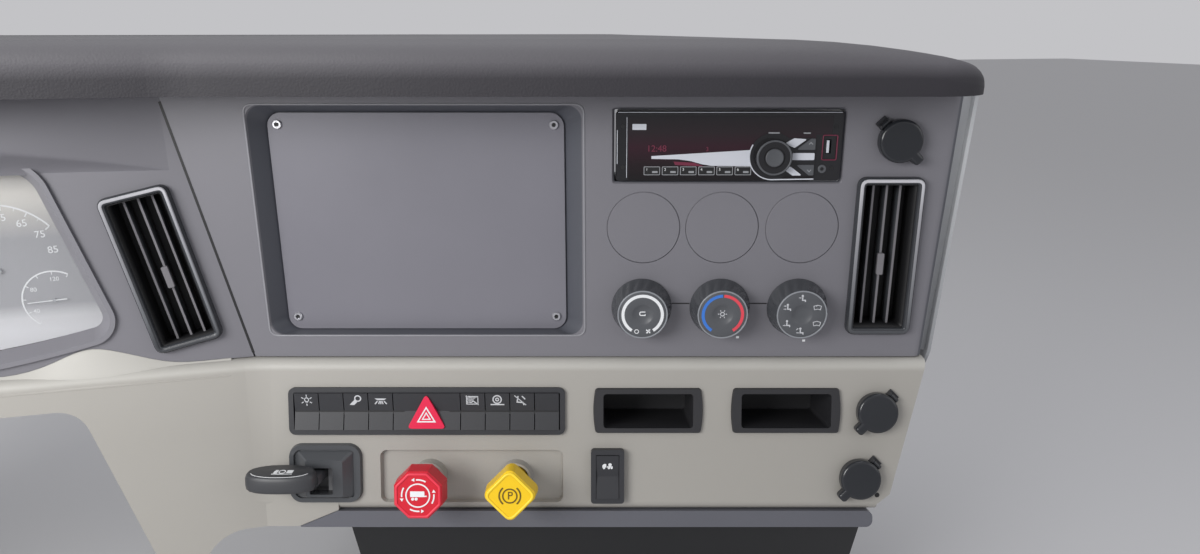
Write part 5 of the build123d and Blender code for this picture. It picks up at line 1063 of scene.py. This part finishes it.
add_flat("lever_sign", paddle_top, lever_sign, -0.3, 0.2, MARK_WHITE, "knob_black", "hand_lever")

# Valve knobs: raised rims, painted lighter than the knobs as a painted highlight on their bevels, and
# plain pictograms
VALVE_SPOTS = {"red": (-153.5, -96.5), "yellow": (-76.0, -96.9)}
VALVE_FACE = 48.0
KNOB_FLAT = 19.6
RIM_SHARE = 0.93
octagon_reach = KNOB_FLAT / math.cos(math.pi / 8) * RIM_SHARE
octagon_rim = rounded(arc(0, 0, octagon_reach, 22.5, 337.5, 7), 3.0)
DIAMOND_REACH = 21.2
diamond = [(DIAMOND_REACH, 0), (0, DIAMOND_REACH), (-DIAMOND_REACH, 0), (0, -DIAMOND_REACH)]
diamond_rim = rounded(diamond, 6.0)
red_face = spot(LOWER, *VALVE_SPOTS["red"], VALVE_FACE)
yellow_face = spot(LOWER, *VALVE_SPOTS["yellow"], VALVE_FACE)
rim_bead = bead(2.0, -0.6, 0.9)
add_rim("red_knob_rim", red_face, [octagon_rim], rim_bead, RED_RIM_HIGHLIGHT, "knob_red", "red_valve_knob")
on_yellow = ("knob_yellow", "yellow_valve_knob")
add_rim("yellow_knob_rim", yellow_face, [diamond_rim], rim_bead, YELLOW_RIM_HIGHLIGHT, *on_yellow)
trailer_sign = [ring(0, 0, 9.4, 10.5)]
trailer_sign += [[box(-6.4, -1.2, 5.6, 3.6)], stroke([(5.6, -0.6), (7.6, -0.6)], 1.0)]
trailer_sign += [[circle(x, -3.0, 1.3, 18)] for x in (-4.4, -1.4)]
add_flat("red_knob_sign", red_face, trailer_sign, -0.1, 0.35, MARK_WHITE, "knob_red", "red_valve_knob")
TURN_ARROW = [band(0, 0, 13.0, 14.2, 60, 95, 10), [[(-2.6, 12.0), (-2.6, 15.2), (-5.2, 13.4)]]]
red_arrows = repeated(TURN_ARROW, 0, 0, 4)
add_flat("red_knob_arrows", red_face, red_arrows, -0.1, 0.35, MARK_WHITE, "knob_red", "red_valve_knob")
park_sign = [ring(0, 0, 5.4, 6.5)]
park_sign += [band(0, 0, 8.4, 9.6, start, start + 100, 14) for start in (-50, 130)]
add_flat("yellow_knob_sign", yellow_face, park_sign, -0.1, 0.35, MARK_BROWN, *on_yellow)
letter = [("P", 0.2, 0.0, 9.5, 0.0)]
add_numbers("yellow_knob_letter", yellow_face, letter, -0.1, 0.35, MARK_BROWN, *on_yellow)

# Small screw hole low in the light panel
screw_hole = [[circle(249.9, -113.1, 2.2, 24)]]
add_flat("panel_screw_hole", LOWER, screw_hole, -0.2, 0.1, MARK_DARK, "panel_light")
